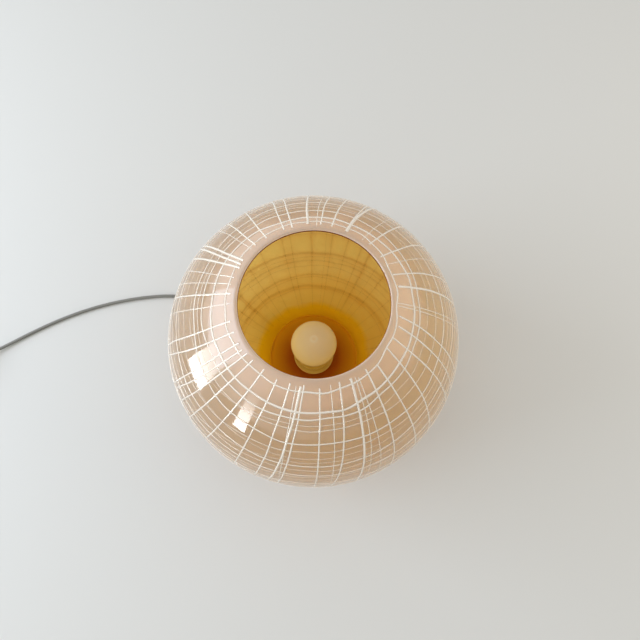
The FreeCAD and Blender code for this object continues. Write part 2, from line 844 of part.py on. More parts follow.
def terminal_blocks():
    """Two blocks under the insulator, each with a bore for its lead and a hole for its screw."""
    body = new_body("terminal_blocks")
    block = pad(body, outline(new_sketch(body, level=f"{INSULATOR_BOTTOM} - terminal_height"),
                              terminal_corners()), "terminal_height")
    repeat(body, block, "2")
    lead_bore = disc(new_sketch(body, "XZ_Plane"), "0", LEAD_LEVEL, "terminal_bore")
    pocket(body, lead_bore, "2 * terminal_offset + terminal_depth / 2", both=True)
    for side in ("", "-"):
        hole = disc(new_sketch(body, "YZ_Plane"), f"{side}terminal_offset", LEAD_LEVEL,
                    "terminal_screw_radius + thread_clearance")
        pocket(body, hole, upward=side == "")
    return to_cord(body)


def terminal_screws():
    body = new_body("terminal_screws")
    head = "(terminal_width / 2)"
    shank = new_sketch(body, "YZ_Plane", "lead_radius + thread_clearance")
    disc(shank, "terminal_offset", LEAD_LEVEL, "terminal_screw_radius")
    repeat(body, pad(body, shank, f"{head} - lead_radius - thread_clearance"), "2")
    cap = new_sketch(body, "YZ_Plane", head)
    disc(cap, "terminal_offset", LEAD_LEVEL, "terminal_screw_head_radius")
    repeat(body, pad(body, cap, "terminal_screw_head_height"), "2")
    return to_cord(body)


def holder_skirt():
    spigot = f"({HOLDER_BORE} - spigot_gap)"
    top = f"({HOLDER_RIM} + skirt_length)"
    return turned("holder_skirt", [
        ("skirt_bore", f"{INSULATOR_TOP} + spigot_relief"),
        (spigot, f"{INSULATOR_TOP} + spigot_relief"),
        (spigot, HOLDER_RIM),
        ("skirt_radius", HOLDER_RIM),
        ("skirt_radius", f"{top} - skirt_lip_height"),
        ("skirt_radius - skirt_lip_height", top),
        ("skirt_lip_bore", top),
        ("skirt_lip_bore", f"{top} - skirt_lip_height"),
        ("skirt_bore", f"{top} - skirt_lip_height - (skirt_bore - skirt_lip_bore)"),
    ])


def shade_ring():
    bore = "(skirt_radius + ring_gap)"
    flange = f"({HOLDER_RIM} + ring_flange)"
    body = turned("shade_ring", [
        (bore, HOLDER_RIM),
        ("ring_radius", HOLDER_RIM),
        ("ring_radius", f"{flange} + ring_edge_height"),
        ("ring_radius - ring_edge_width", f"{flange} + ring_edge_height"),
        ("ring_radius - ring_edge_width - ring_edge_height", flange),
        ("ring_hub_radius", flange),
        ("ring_hub_radius", f"{HOLDER_RIM} + ring_hub_height"),
        (bore, f"{HOLDER_RIM} + ring_hub_height"),
    ])
    flute = disc(new_sketch(body, level=flange), "ring_hub_radius + ring_flute_radius / 2", "0",
                 "ring_flute_radius")
    repeat(body, pocket(body, flute, upward=True), "ring_flute_count")
    return body


# Opal bulb
def bulb_globe():
    reach = "(globe_radius + neck_arc)"
    neck_run = "(neck_radius + neck_arc)"
    drop = f"sqrt({reach} ^ 2 - {neck_run} ^ 2)"
    neck_top = f"({GLOBE_CENTRE} - {drop})"
    neck_foot = f"({BULB_CAP_TOP} - neck_depth)"
    inner = "(globe_radius - globe_wall)"
    share = f"(globe_radius / {reach})"
    inner_share = f"({inner} / {reach})"
    return turned("bulb_globe", [
        ("neck_radius - globe_wall", neck_foot),
        ("neck_radius", neck_foot),
        ("neck_radius", neck_top, "-neck_arc"),
        (f"{neck_run} * {share}", f"{GLOBE_CENTRE} - {drop} * {share}", "globe_radius"),
        ("0", f"{GLOBE_CENTRE} + globe_radius"),
        ("0", f"{GLOBE_CENTRE} + {inner}", f"-{inner}"),
        (f"{neck_run} * {inner_share}", f"{GLOBE_CENTRE} - {drop} * {inner_share}", "neck_arc + globe_wall"),
        ("neck_radius - globe_wall", neck_top),
    ])


def bulb_cap():
    lip = f"({BULB_TIP} + tip_thickness + bulb_insulator_height - bulb_insulator_edge)"
    hole = "(bulb_insulator_radius + bulb_cap_hole_gap)"
    cone_top = f"({lip} + bulb_cap_cone)"
    inner = "(bulb_cap_radius - bulb_cap_wall)"
    return turned("bulb_cap", [
        (hole, lip),
        (f"{hole} + bulb_cap_lip", lip),
        ("bulb_cap_radius", cone_top),
        ("bulb_cap_radius", BULB_CAP_TOP),
        (inner, BULB_CAP_TOP),
        (inner, f"{cone_top} + bulb_cap_wall / 2"),
        (f"{hole} + bulb_cap_lip - bulb_cap_wall / 2", f"{lip} + bulb_cap_wall"),
        (hole, f"{lip} + bulb_cap_wall"),
    ])


def bulb_insulator():
    foot = f"({BULB_TIP} + tip_thickness)"
    top = f"({foot} + bulb_insulator_height)"
    return turned("bulb_insulator", [
        ("0", foot),
        ("bulb_insulator_foot", foot),
        ("bulb_insulator_radius", f"{top} - bulb_insulator_edge"),
        ("bulb_insulator_radius", top),
        ("0", top),
    ])


def bulb_contact():
    return turned("bulb_contact", [
        ("0", BULB_TIP),
        ("tip_radius / 2", BULB_TIP),
        ("tip_radius", f"{BULB_TIP} + tip_thickness / 2"),
        ("tip_radius", f"{BULB_TIP} + tip_thickness"),
        ("0", f"{BULB_TIP} + tip_thickness"),
    ])


def bulb_stem():
    flare = f"({BULB_TIP} + stem_flare_height)"
    return turned("bulb_stem", [
        ("0", flare),
        ("stem_flare_radius", flare),
        ("stem_flare_radius", f"{flare} + stem_flare_edge"),
        ("stem_foot_radius", f"{BULB_TIP} + stem_foot_height"),
        ("stem_top_radius", STEM_TOP),
        ("0", STEM_TOP),
    ])


def bulb_supports():
    """Two wires that spread from the stem to the ends of the filament."""
    wires = []
    for side in (-1, 1):
        foot = Vector(side * value("support_foot"), 0, value(STEM_TOP))
        top = Vector(side * value("support_spread"), 0, value(GLOBE_CENTRE))
        length = (top - foot).Length
        heading = (top - foot).normalize()
        start = foot + heading * value("support_gap")
        wires.append(Part.makeCylinder(value("support_radius"), length, start, heading))
    return shaped("bulb_supports", Part.makeCompound(wires))


def bulb_filament():
    spread = value("support_spread")
    level = value(f"{GLOBE_CENTRE} + support_radius + filament_radius + filament_gap")
    ends = [Vector(side * spread, 0, level) for side in (-1, 1)]
    arch = Part.Arc(ends[0], Vector(0, 0, level + value("filament_rise")), ends[1])
    return shaped("bulb_filament", sweep([arch.toShape()], value("filament_radius"), "bulb_filament"))


# Inline switch
def switch_corners(inset="0"):
    """The switch's outline from above, drawn in by an inset."""
    length = f"(switch_half_length - {inset})"
    width = f"(switch_half_width - {inset})"
    end = f"(switch_half_end - {inset} / 2)"
    return [
        (f"-{length}", f"-{end}"),
        ("-switch_shoulder", f"-{width}"),
        ("switch_shoulder", f"-{width}"),
        (length, f"-{end}"),
        (length, end),
        ("switch_shoulder", width),
        ("-switch_shoulder", width),
        (f"-{length}", end),
    ]


def cord_passage(body):
    """The round way for the cord through both ends, half in each shell."""
    way = disc(new_sketch(body, "YZ_Plane"), "0", "switch_parting", "cord_radius + switch_cord_gap")
    pocket(body, way, both=True)


def screw_posts(body, level, length):
    """Two posts at opposite corners of the switch."""
    for side in ("", "-"):
        post = new_sketch(body, level=level)
        disc(post, f"{side}switch_screw_x", f"{side}switch_screw_y", "switch_post_radius")
        pad(body, post, length)


def screw_holes(body, level, radius, length=None):
    """Two holes that go up from a level, one in each post."""
    for side in ("", "-"):
        hole = new_sketch(body, level=level)
        disc(hole, f"{side}switch_screw_x", f"{side}switch_screw_y", radius)
        pocket(body, hole, length, upward=True)


def switch_base():
    body = new_body("switch_base")
    block = pad(body, outline(new_sketch(body), switch_corners()), "switch_parting")
    round_edges(body, block, lambda edge: edge.BoundBox.ZMax < EDGE_REACH, "switch_round / 2")
    pocket(body, outline(new_sketch(body, level="switch_parting"), switch_corners("switch_wall")),
           "switch_parting - switch_wall")
    cord_passage(body)
    screw_posts(body, "switch_wall / 2", "switch_parting - switch_wall / 2")
    screw_holes(body, "0", "switch_screw_radius + screw_clearance")
    screw_holes(body, "0", "switch_screw_head_radius + screw_clearance", "switch_screw_sink")
    return to_switch(body)


def switch_cover():
    body = new_body("switch_cover")
    ceiling = "(switch_height - switch_wall)"
    block = pad(body, outline(new_sketch(body, level="switch_parting"), switch_corners()),
                "switch_height - switch_parting")
    top = value("switch_height")
    round_edges(body, block, lambda edge: edge.BoundBox.ZMin > top - EDGE_REACH, "switch_round")
    pocket(body, outline(new_sketch(body, level="switch_parting"), switch_corners("switch_wall")),
           f"{ceiling} - switch_parting", upward=True)
    cord_passage(body)
    half_slot = "(rocker_half_width + rocker_gap)"
    ear = [("-ear_half_length", half_slot), ("ear_half_length", half_slot),
           ("ear_half_length", f"{half_slot} + ear_wall"), ("-ear_half_length", f"{half_slot} + ear_wall")]
    ear_foot = f"({ceiling} - ear_drop)"
    for side in ("", "-"):
        corners = [(x, f"{side}({y})") for x, y in ear]
        pad(body, outline(new_sketch(body, level=ear_foot), corners), "ear_drop + switch_wall / 2")
    bore = disc(new_sketch(body, "XZ_Plane"), "0", "rocker_pivot_height",
                "rocker_pin_radius + pin_seat_clearance")
    pocket(body, bore, f"2 * ({half_slot} + ear_wall)", both=True)
    end = "(rocker_radius + rocker_gap)"
    slot = [(f"-{end}", f"-{half_slot}"), (end, f"-{half_slot}"), (end, half_slot), (f"-{end}", half_slot)]
    pocket(body, outline(new_sketch(body, level=ceiling), slot), upward=True)
    screw_posts(body, "switch_parting", "switch_height - switch_parting - switch_wall / 2")
    screw_holes(body, "switch_parting", "switch_screw_radius + thread_clearance",
                "switch_screw_length - switch_parting + switch_screw_sink + switch_wall / 2")
    return to_switch(body)


def switch_rocker():
    """A rocker whose ends are arcs about its pin, so that the gap round it stays the same as it tips."""
    body = new_body("switch_rocker")
    top_x = "(rocker_radius * cos(rocker_top_angle))"
    top_z = "(rocker_radius * sin(rocker_top_angle))"
    skirt_x = "(rocker_radius * cos(rocker_skirt_angle))"
    skirt_z = "(rocker_radius * sin(rocker_skirt_angle))"
    side = outline(new_sketch(body, "XZ_Plane"), [
        ("-rocker_belly_half", "-rocker_belly"),
        ("rocker_belly_half", "-rocker_belly"),
        (skirt_x, f"-{skirt_z}", "rocker_radius"),
        (top_x, top_z),
        ("0", "rocker_dip"),
        (f"-{top_x}", top_z, "rocker_radius"),
        (f"-{skirt_x}", f"-{skirt_z}"),
    ])
    pad(body, side, "2 * rocker_half_width", symmetric=True)
    bore = disc(new_sketch(body, "XZ_Plane"), "0", "0", "rocker_pin_radius + rocker_pin_clearance")
    pocket(body, bore, both=True)
    return to_switch(body, "rocker_pivot_height", Rotation(Vector(0, 1, 0), -value("rocker_tilt")))


def rocker_pin():
    body = new_body("rocker_pin")
    pad(body, disc(new_sketch(body, "XZ_Plane"), "0", "0", "rocker_pin_radius"),
        "2 * (rocker_half_width + rocker_gap + ear_wall)", symmetric=True)
    return to_switch(body, "rocker_pivot_height")


def switch_contacts():
    """A fixed contact and a spring contact, on the floor of the switch."""
    body = new_body("switch_contacts")
    top = "(switch_wall + leaf_thickness)"
    fixed = outline(new_sketch(body, "XZ_Plane"), [
        ("-leaf_end", "switch_wall"),
        ("-leaf_contact_x", "switch_wall"),
        ("-leaf_contact_x", "switch_wall + leaf_contact_rise"),
        ("-leaf_contact_x - leaf_thickness", "switch_wall + leaf_contact_rise"),
        ("-leaf_contact_x - leaf_thickness", top),
        ("-leaf_end", top),
    ])
    pad(body, fixed, "2 * leaf_half_width", symmetric=True)
    spring = outline(new_sketch(body, "XZ_Plane"), [
        ("leaf_end", top),
        ("leaf_contact_x", top),
        ("-leaf_contact_x", "switch_wall + leaf_spring_rise + leaf_thickness"),
        ("-leaf_contact_x", "switch_wall + leaf_spring_rise"),
        ("leaf_contact_x", "switch_wall"),
        ("leaf_end", "switch_wall"),
    ])
    pad(body, spring, "2 * leaf_half_width", symmetric=True)
    return to_switch(body)


def switch_screws():
    body = new_body("switch_screws")
    head_foot = "(switch_screw_sink - switch_screw_head_height)"
    parts = (
        (head_foot, "switch_screw_head_radius", "switch_screw_head_height"),
        ("switch_screw_sink", "switch_screw_radius", "switch_screw_length"),
    )
    for level, radius, length in parts:
        shank = disc(new_sketch(body, level=level), "switch_screw_x", "switch_screw_y", radius)
        repeat(body, pad(body, shank, length), "2")
    return to_switch(body)


# Cord: the free stretches and the coil
def from_switch(along, level="switch_parting"):
    """A point on the switch's axis, a distance along it from its middle."""
    heading = Rotation(UP, value("switch_heading")).multVec(Vector(1, 0, 0))
    middle = Vector(value("switch_x"), value("switch_y"), value(level))
    return middle + heading * along


def cord_lamp_lead():
    """From the grip, down to the table, round to the left and into the switch."""
    exit_heading = Rotation(UP, value("cord_azimuth")).multVec(Vector(1, 0, 0))
    start = exit_heading * value(GRIP_TIP) + UP * value("grip_height")
    rest = value("cord_rest")
    return cord_tube("cord_lamp_lead", [
        start,
        start + exit_heading * value("cord_straight"),
        Vector(-150, 81, 5.5),
        Vector(-195, 90.5, rest),
        Vector(-243, 92, rest),
        Vector(-297, 83, rest),
        Vector(-351, 67, rest),
        Vector(-404, 43.5, rest),
        Vector(-452, 15, rest),
        Vector(-486, -8.5, 4),
        from_switch(-43),
        from_switch(-25),
    ])


def cord_switch_lead():
    """From the switch down to the coil."""
    return cord_tube("cord_switch_lead", [
        from_switch(25),
        from_switch(43),
        from_switch(61, "switch_parting - 3"),
        from_switch(76, COIL_LEVEL),
        from_switch(value("coil_approach"), COIL_LEVEL),
    ])


def coil_centre():
    """The coil's middle: it starts in line with the switch, one cord diameter past the stretch before it."""
    start = from_switch(value("coil_approach + 2 * cord_radius"), COIL_LEVEL)
    inward = Rotation(UP, value("switch_heading") + 90).multVec(Vector(1, 0, 0))
    return start + inward * value(COIL_OUTER)


def coil_point(angle):
    """A point of the coil: it spirals in, climbs a layer in the half turn at its middle, and spirals out."""
    half = value(COIL_SWEEP) / 2
    pitch = value("coil_pitch")
    radius = value(COIL_OUTER) - pitch * (half - abs(angle - half)) / 360
    climb = min(max((angle - half) / 180 + 0.5, 0), 1)
    smooth = climb * climb * (3 - 2 * climb)
    bearing = math.radians(value("switch_heading") - 90 + angle)
    return coil_centre() + Vector(radius * math.cos(bearing), radius * math.sin(bearing), pitch * smooth)


def biarc(start, start_heading, finish, finish_heading):
    """Two arcs that leave one point and reach another along given headings."""
    across = finish - start
    both = start_heading + finish_heading
    spread = 2 * (1 - start_heading.dot(finish_heading))
    along = across.dot(both)
    reach = (math.sqrt(along**2 + spread * across.dot(across)) - along) / spread
    first_corner = start + start_heading * reach
    last_corner = finish - finish_heading * reach
    joint = (first_corner + last_corner) / 2
    edges = []
    for begin, corner, end in ((start, first_corner, joint), (joint, last_corner, finish)):
        half_angle = (corner - begin).getAngle(end - begin)
        chord_middle = (begin + end) / 2
        height = (end - begin).Length / 2 * math.tan(half_angle / 2)
        middle = chord_middle + (corner - chord_middle).normalize() * height
        edges.append(Part.Arc(begin, middle, end).toShape())
    return edges


def cord_coil():
    """The put-away length in two layers, in quarter turns, with a straight end at each side."""
    total = value(COIL_SWEEP)
    quarters = round(total / 90)
    angles = [total * number / quarters for number in range(quarters + 1)]
    knots = [coil_point(angle) for angle in angles]
    headings = []
    for angle in angles:
        bearing = math.radians(value("switch_heading") + angle)
        flat = Vector(math.cos(bearing), math.sin(bearing), 0)
        headings.append(flat)
    middle = quarters // 2
    for number in range(1, quarters):
        rise = (knots[number + 1].z - knots[number - 1].z) / (knots[number + 1] - knots[number - 1]).Length
        if number in (middle, middle + quarters % 2):
            headings[number] = (headings[number] + UP * rise).normalize()
    straight = 2 * value("cord_radius")
    edges = [Part.LineSegment(knots[0] - headings[0] * straight, knots[0]).toShape()]
    for number in range(quarters):
        edges += biarc(knots[number], headings[number], knots[number + 1], headings[number + 1])
    edges.append(Part.LineSegment(knots[-1], knots[-1] + headings[-1] * straight).toShape())
    gap = least_gap(edges)
    print(f"cord_coil: least gap to itself {gap:.2f} mm")
    if gap < LEAST_COIL_GAP:
        raise ValueError("the coil touches itself")
    return shaped("cord_coil", sweep(edges, value("cord_radius"), "cord_coil"))


def least_gap(edges):
    """The least clear distance between stretches of a tube that are more than half a turn apart along it."""
    spacing = 1.5
    points = []
    for edge in edges:
        points += edge.discretize(max(2, round(edge.Length / spacing)))[:-1]
    apart = round(2 * value("coil_radius") / spacing)
    nearest = min(
        points[first].distanceToPoint(points[second])
        for first in range(len(points))
        for second in range(first + apart, len(points))
    )
    return nearest - 2 * value("cord_radius")


def coil_tie():
    """A flat strap round the bundle of turns."""
    body = new_body("coil_tie")
    reach = f"({COIL_OUTER} - coil_radius + cord_radius + tie_gap)"
    top = "(coil_lift + 2 * cord_radius + coil_pitch + tie_floor_gap)"
    ring = new_sketch(body, "XZ_Plane")
    for out, foot, head in (("0", "tie_wall", top), ("tie_wall", "0", f"{top} + tie_wall")):
        near = f"coil_radius - {reach} - {out}"
        far = f"coil_radius + {reach} + {out}"
        outline(ring, [(near, foot), (far, foot), (far, head), (near, head)])
    strap = pad(body, ring, "tie_width", symmetric=True)
    round_edges(body, strap, lambda edge: abs(edge.tangentAt(edge.FirstParameter).y) > 0.9, "tie_wall / 2")
    centre = coil_centre()
    body.Placement = Placement(Vector(centre.x, centre.y, 0), Rotation(UP, value("tie_angle")))
    return body


def cord_plug_lead():
    """From the coil's upper layer down to the plug."""
    outward = Rotation(UP, value("coil_exit_angle")).multVec(Vector(1, 0, 0))
    onward = Rotation(UP, value("coil_exit_angle") + 90).multVec(Vector(1, 0, 0))
    start = coil_centre() + outward * value(COIL_OUTER) + onward * 2 * value("cord_radius")
    start.z = value(f"{COIL_LEVEL} + coil_pitch")
    entry = Vector(value("plug_x"), value("plug_y"), value(PLUG_AXIS))
    coil_run = 14
    plug_run = 15
    return cord_tube("cord_plug_lead", [start, start + onward * coil_run, entry - onward * plug_run, entry])


# Plug
def plug_body():
    body = new_body("plug_body")
    back = "plug_relief_length"
    half = [
        (back, "plug_half_back"),
        (f"{back} + plug_waist", "plug_half_width"),
        (f"{PLUG_FRONT} - plug_nose", "plug_half_width"),
        (PLUG_FRONT, "plug_half_front"),
    ]
    corners = [(x, f"-{y}") for x, y in half] + half[::-1]
    block = pad(body, outline(new_sketch(body), corners), "plug_thickness", symmetric=True)
    top = value(PLUG_AXIS) - EDGE_REACH
    round_edges(body, block, lambda edge: abs(edge.CenterOfMass.z) > top, "plug_round")
    spin(body, [
        ("0", "0"),
        (f"{back} + plug_nose", "0"),
        (f"{back} + plug_nose", "plug_relief_root"),
        (back, "plug_relief_root"),
        ("0", "plug_relief_tip"),
    ], axis="H_Axis")
    for side in ("", "-"):
        hole = disc(new_sketch(body, "YZ_Plane", PLUG_FRONT), f"{side}pin_spacing / 2", "0",
                    "pin_root_radius + sleeve_clearance")
        pocket(body, hole, "pin_root_depth")
    return to_plug(body)


def twin(label, corners):
    """A turned piece on each of the plug's two pin axes, drawn along X."""
    body = new_body(label)
    for side in ("", "-"):
        axis = f"{side}pin_spacing / 2"
        half = [(x, f"{side}(pin_spacing / 2 + {y})") for x, y in corners]
        spin(body, half, line=[("0", axis), ("1", axis)], plane="XY_Plane")
    return to_plug(body)


def plug_pins():
    sleeve_end = f"({PLUG_FRONT} + sleeve_length)"
    end = f"({PLUG_FRONT} + pin_length)"
    return twin("plug_pins", [
        (f"{PLUG_FRONT} - pin_root_depth", "0"),
        (f"{PLUG_FRONT} - pin_root_depth", "pin_root_radius"),
        (sleeve_end, "pin_root_radius"),
        (sleeve_end, "pin_radius"),
        (f"{end} - pin_round", "pin_radius"),
        (end, "pin_radius - pin_round"),
        (end, "0"),
    ])


def plug_sleeves():
    inner = "pin_root_radius + sleeve_clearance"
    sleeve_end = f"({PLUG_FRONT} + sleeve_length)"
    return twin("plug_sleeves", [
        (PLUG_FRONT, inner),
        (PLUG_FRONT, "sleeve_radius"),
        (sleeve_end, "sleeve_radius"),
        (sleeve_end, inner),
    ])


def build():
    glass_body()
    felt_pad()
    base_cover()
    base_pan()
    cover_posts()
    cover_screws()
    lower_gasket()
    upper_gasket()
    clamp_plate()
    threaded_tube()
    washer("tube_washer", TUBE_NUT_TOP)
    place(nut("tube_nut", "tube_nut_thickness"), z=TUBE_NUT_BOTTOM)
    washer("clamp_washer", PLATE_TOP)
    place(nut("clamp_nut", "clamp_nut_thickness"), z=CLAMP_WASHER_TOP)
    cord_grip()
    cord_grip_nut()
    cord_grip_screw()
    cord_tail()
    lead("live_lead", 1)
    lead("neutral_lead", -1)
    holder_cap()
    holder_insulator()
    screw_shell()
    centre_contact()
    terminal_blocks()
    terminal_screws()
    holder_skirt()
    shade_ring()
    bulb_globe()
    bulb_cap()
    bulb_insulator()
    bulb_contact()
    bulb_stem()
    bulb_supports()
    bulb_filament()
    switch_base()
    switch_cover()
    switch_rocker()
    rocker_pin()
    switch_contacts()
    switch_screws()
    cord_lamp_lead()
    cord_switch_lead()
    cord_coil()
    coil_tie()
    cord_plug_lead()
    plug_body()
    plug_pins()
    plug_sleeves()
    doc.recompute()


def check():
    """Stops at an object that failed, or at a sub-part without a sound shape."""
    for item in doc.Objects:
        if {"Invalid", "Error"} & set(item.State):
            raise ValueError(f"{item.Label} failed: {item.State}")
    for piece in pieces:
        if piece.Shape.isNull() or not piece.Shape.isValid() or not piece.Shape.Solids:
            raise ValueError(f"{piece.Label} has no sound shape")


build()
check()
os.makedirs("parts", exist_ok=True)
for piece in pieces:
    piece.Shape.exportStep(f"parts/{piece.Label}.step")
print(len(pieces), "sub-parts written")
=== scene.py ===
# %% [markdown]
# # A blown glass table lamp
# The lamp is a near-round vessel of cased glass, beige outside and amber inside, with white glass
# threads trailed over it. A round bulb stands inside it, and a grey cord runs out to a switch and a
# plug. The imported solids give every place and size. This lesson dresses them: it loads them as a fixed
# frame, sets the camera, lays the cords, and then makes the glass, its threads and the finishes.

# %% Load the solids as a fixed frame
import json
import math
import random

import bmesh
import bpy
from mathutils import Matrix, Vector


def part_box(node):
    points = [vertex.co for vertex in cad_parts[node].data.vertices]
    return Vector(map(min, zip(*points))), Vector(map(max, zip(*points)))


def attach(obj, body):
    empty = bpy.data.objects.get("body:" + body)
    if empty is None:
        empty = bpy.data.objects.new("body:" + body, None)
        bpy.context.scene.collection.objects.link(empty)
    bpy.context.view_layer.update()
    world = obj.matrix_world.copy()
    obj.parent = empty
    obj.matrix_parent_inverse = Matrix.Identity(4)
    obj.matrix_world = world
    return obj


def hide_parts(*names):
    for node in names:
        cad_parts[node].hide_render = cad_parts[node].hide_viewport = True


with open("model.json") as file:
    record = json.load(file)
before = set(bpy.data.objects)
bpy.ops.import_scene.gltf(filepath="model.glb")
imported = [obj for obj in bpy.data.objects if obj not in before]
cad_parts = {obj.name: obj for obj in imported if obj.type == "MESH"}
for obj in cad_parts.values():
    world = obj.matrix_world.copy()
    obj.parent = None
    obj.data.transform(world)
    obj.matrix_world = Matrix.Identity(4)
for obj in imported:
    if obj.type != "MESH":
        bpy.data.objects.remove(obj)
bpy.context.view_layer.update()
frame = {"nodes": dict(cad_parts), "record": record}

MM = 0.001
scene = bpy.context.scene
scene.view_settings.view_transform = "Standard"
nodes = frame["nodes"]

# %% [markdown]
# ## The camera
# The lamp was seen from above and a little in front, close by. The round mouth and the round belly each
# draw an outline, and those two outlines fix the lens, the height and the tilt. A camera could be aimed
# with a Track To constraint, but a tilt and a roll written as angles say exactly what was found.

# %% Set the camera
FRAME_PIXELS = 640
FOCAL_PIXELS = 480
SENSOR_WIDTH = 36.0
CAMERA_PLACE = Vector((6.2, -126.3, 751.8)) * MM
CAMERA_TILT = math.radians(75.62)
CAMERA_ROLL = math.radians(3.41)

ahead = Vector((0, math.cos(CAMERA_TILT), -math.sin(CAMERA_TILT)))
across = Vector((1, 0, 0))
upward = across.cross(ahead)
camera_right = across * math.cos(CAMERA_ROLL) + upward * math.sin(CAMERA_ROLL)
camera_up = upward * math.cos(CAMERA_ROLL) - across * math.sin(CAMERA_ROLL)

camera = bpy.data.objects.new("camera", bpy.data.cameras.new("camera"))
camera.data.sensor_width = SENSOR_WIDTH
camera.data.lens = SENSOR_WIDTH * FOCAL_PIXELS / FRAME_PIXELS
camera.matrix_world = (
    Matrix.Translation(CAMERA_PLACE)
    @ Matrix((camera_right, camera_up, -ahead)).transposed().to_4x4()
)
scene.collection.objects.link(camera)
scene.camera = camera
print("lens:", camera.data.lens, "mm")

# %% [markdown]
# ## The cords
# A lamp cord is a round two-core lead with a smooth grey sheath. It leaves the base through its grip,
# drops to the floor and runs off to the left, into the switch. The rest of it is wound into a tied coil
# and ends in the plug. A mesh tube could be swept along each route, but a NURBS curve with a round
# bevel stays smooth at any distance and bends as a cord does. Each route repeats the solid's own
# points, in millimetres.

# %% [markdown]
# The switch and the plug on the cord are moulded, so their edges are soft. A Bevel modifier could
# soften the solids themselves, but a solid's mesh stays as it is. Each gets a copy instead, merged into
# clean faces, with its sharp outer edges rounded, and the copy takes the solid's place.

# %% Soften the fittings on the cord
MERGE_DISTANCE = 0.002
FLAT_ANGLE = math.radians(1)
SHARP_ANGLE = math.radians(18)
SMOOTH_ANGLE = math.radians(40)
SHORTEST_EDGE = 1.5
EDGE_SEGMENTS = 3
ROUND_PROFILE = 0.5
# For each solid its body, its record slot and the radius of its edges in millimetres
EASED = {
    "switch_base": ("lamp", "switch_resin", 1.4),
    "switch_cover": ("lamp", "switch_resin", 1.6),
    "switch_rocker": ("rocker", "rocker_resin", 0.7),
    "plug_body": ("lamp", "plug_resin", 1.6),
}


def eased(node, body, slot, radius):
    """A copy of a solid with its sharp outer edges rounded, which takes the solid's place."""
    work = bmesh.new()
    work.from_mesh(nodes[node].data)
    bmesh.ops.remove_doubles(work, verts=work.verts, dist=MERGE_DISTANCE * MM)
    bmesh.ops.dissolve_limit(work, angle_limit=FLAT_ANGLE, verts=work.verts, edges=work.edges)
    sharp = [
        edge for edge in work.edges
        if edge.is_manifold and edge.calc_face_angle_signed() > SHARP_ANGLE
        and edge.calc_length() > SHORTEST_EDGE * MM
    ]
    bmesh.ops.bevel(work, geom=sharp, offset=radius * MM, offset_type="OFFSET", segments=EDGE_SEGMENTS,
                    profile=ROUND_PROFILE, affect="EDGES", clamp_overlap=True)
    mesh = bpy.data.meshes.new(node + "_eased")
    work.to_mesh(mesh)
    work.free()
    mesh.shade_smooth()
    mesh.set_sharp_from_angle(angle=SMOOTH_ANGLE)
    piece = bpy.data.objects.new(node + "_eased", mesh)
    scene.collection.objects.link(piece)
    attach(piece, body)
    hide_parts(node)
    print(piece.name + ":", len(sharp), "edges rounded")
    return piece


fittings = {node: eased(node, *facts) for node, facts in EASED.items()}

# %% Lay the cord from the lamp to the switch
CORD_RADIUS = 2.5
CORD_ROUNDNESS = 4
CORD_STEPS = 6
CORD_ORDER = 3
SWITCH_MIDDLE = Vector((-548, -52, 0))
SWITCH_HEADING = math.radians(216)
switch_along = Vector((math.cos(SWITCH_HEADING), math.sin(SWITCH_HEADING), 0))


def on_switch_axis(distance, level):
    """A point in millimetres, a distance along the switch from its middle, at a height."""
    return SWITCH_MIDDLE + switch_along * distance + Vector((0, 0, level))


def lay_cord(name, points):
    """A round cord on one smooth spline whose control points are the route's points."""
    curve = bpy.data.curves.new(name, "CURVE")
    curve.dimensions = "3D"
    # The bevel is a unit circle and the points carry the cord's radius, so that the curve's box is true
    curve.bevel_depth = 1.0
    curve.bevel_resolution = CORD_ROUNDNESS
    curve.resolution_u = CORD_STEPS
    curve.use_fill_caps = True
    spline = curve.splines.new("NURBS")
    spline.points.add(len(points) - 1)
    for point, place in zip(spline.points, points):
        point.co = (*(Vector(place) * MM), 1)
        point.radius = CORD_RADIUS * MM
    spline.order_u = CORD_ORDER
    spline.use_endpoint_u = True
    cord = bpy.data.objects.new(name, curve)
    scene.collection.objects.link(cord)
    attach(cord, "lamp")
    return cord


lamp_route = [
    (-86.6, 50, 12),
    (-110.85, 64, 12),
    (-150, 81, 5.5),
    (-195, 90.5, 2.6),
    (-243, 92, 2.6),
    (-297, 83, 2.6),
    (-351, 67, 2.6),
    (-404, 43.5, 2.6),
    (-452, 15, 2.6),
    (-486, -8.5, 4),
    on_switch_axis(-43, 9),
    on_switch_axis(-25, 9),
]
lamp_cord = lay_cord("lamp_cord", lamp_route)
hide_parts("cord_lamp_lead")
print("lamp cord:", len(lamp_route), "points")

# %% Wind the coil of the cord
COIL_CENTRE = Vector((-602.16, -139.08, 0))
COIL_OUTER = 38.61
COIL_PITCH = 5.6
COIL_LEVEL = 3.6
COIL_SWEEP = 2214
COIL_STEP = 18
COIL_START = 126

half_sweep = COIL_SWEEP / 2
# A spline of this order runs inside the ring of its points, so they stand a little outside the turns
stand_out = 1 / math.cos(math.radians(COIL_STEP / 2))
coil_turns = []
for angle in range(COIL_STEP, COIL_SWEEP, COIL_STEP):
    radius = (COIL_OUTER - COIL_PITCH * (half_sweep - abs(angle - half_sweep)) / 360) * stand_out
    climb = min(max((angle - half_sweep) / 180 + 0.5, 0), 1)
    level = COIL_LEVEL + COIL_PITCH * climb * climb * (3 - 2 * climb)
    bearing = math.radians(COIL_START + angle)
    place = Vector((radius * math.cos(bearing), radius * math.sin(bearing), level))
    coil_turns.append(COIL_CENTRE + place)
print("turns of the coil:", round(COIL_SWEEP / 360, 2))

# %% [markdown]
# A strap of woven nylon holds the turns together. It bends round the bundle and can't make a sharp
# corner, so it is drawn as a rounded loop. A curve with a flat bevel could do that, but a band that is
# less than a millimetre thick is easier to round at its edges as eight loops of a mesh, each a little
# in from the last.

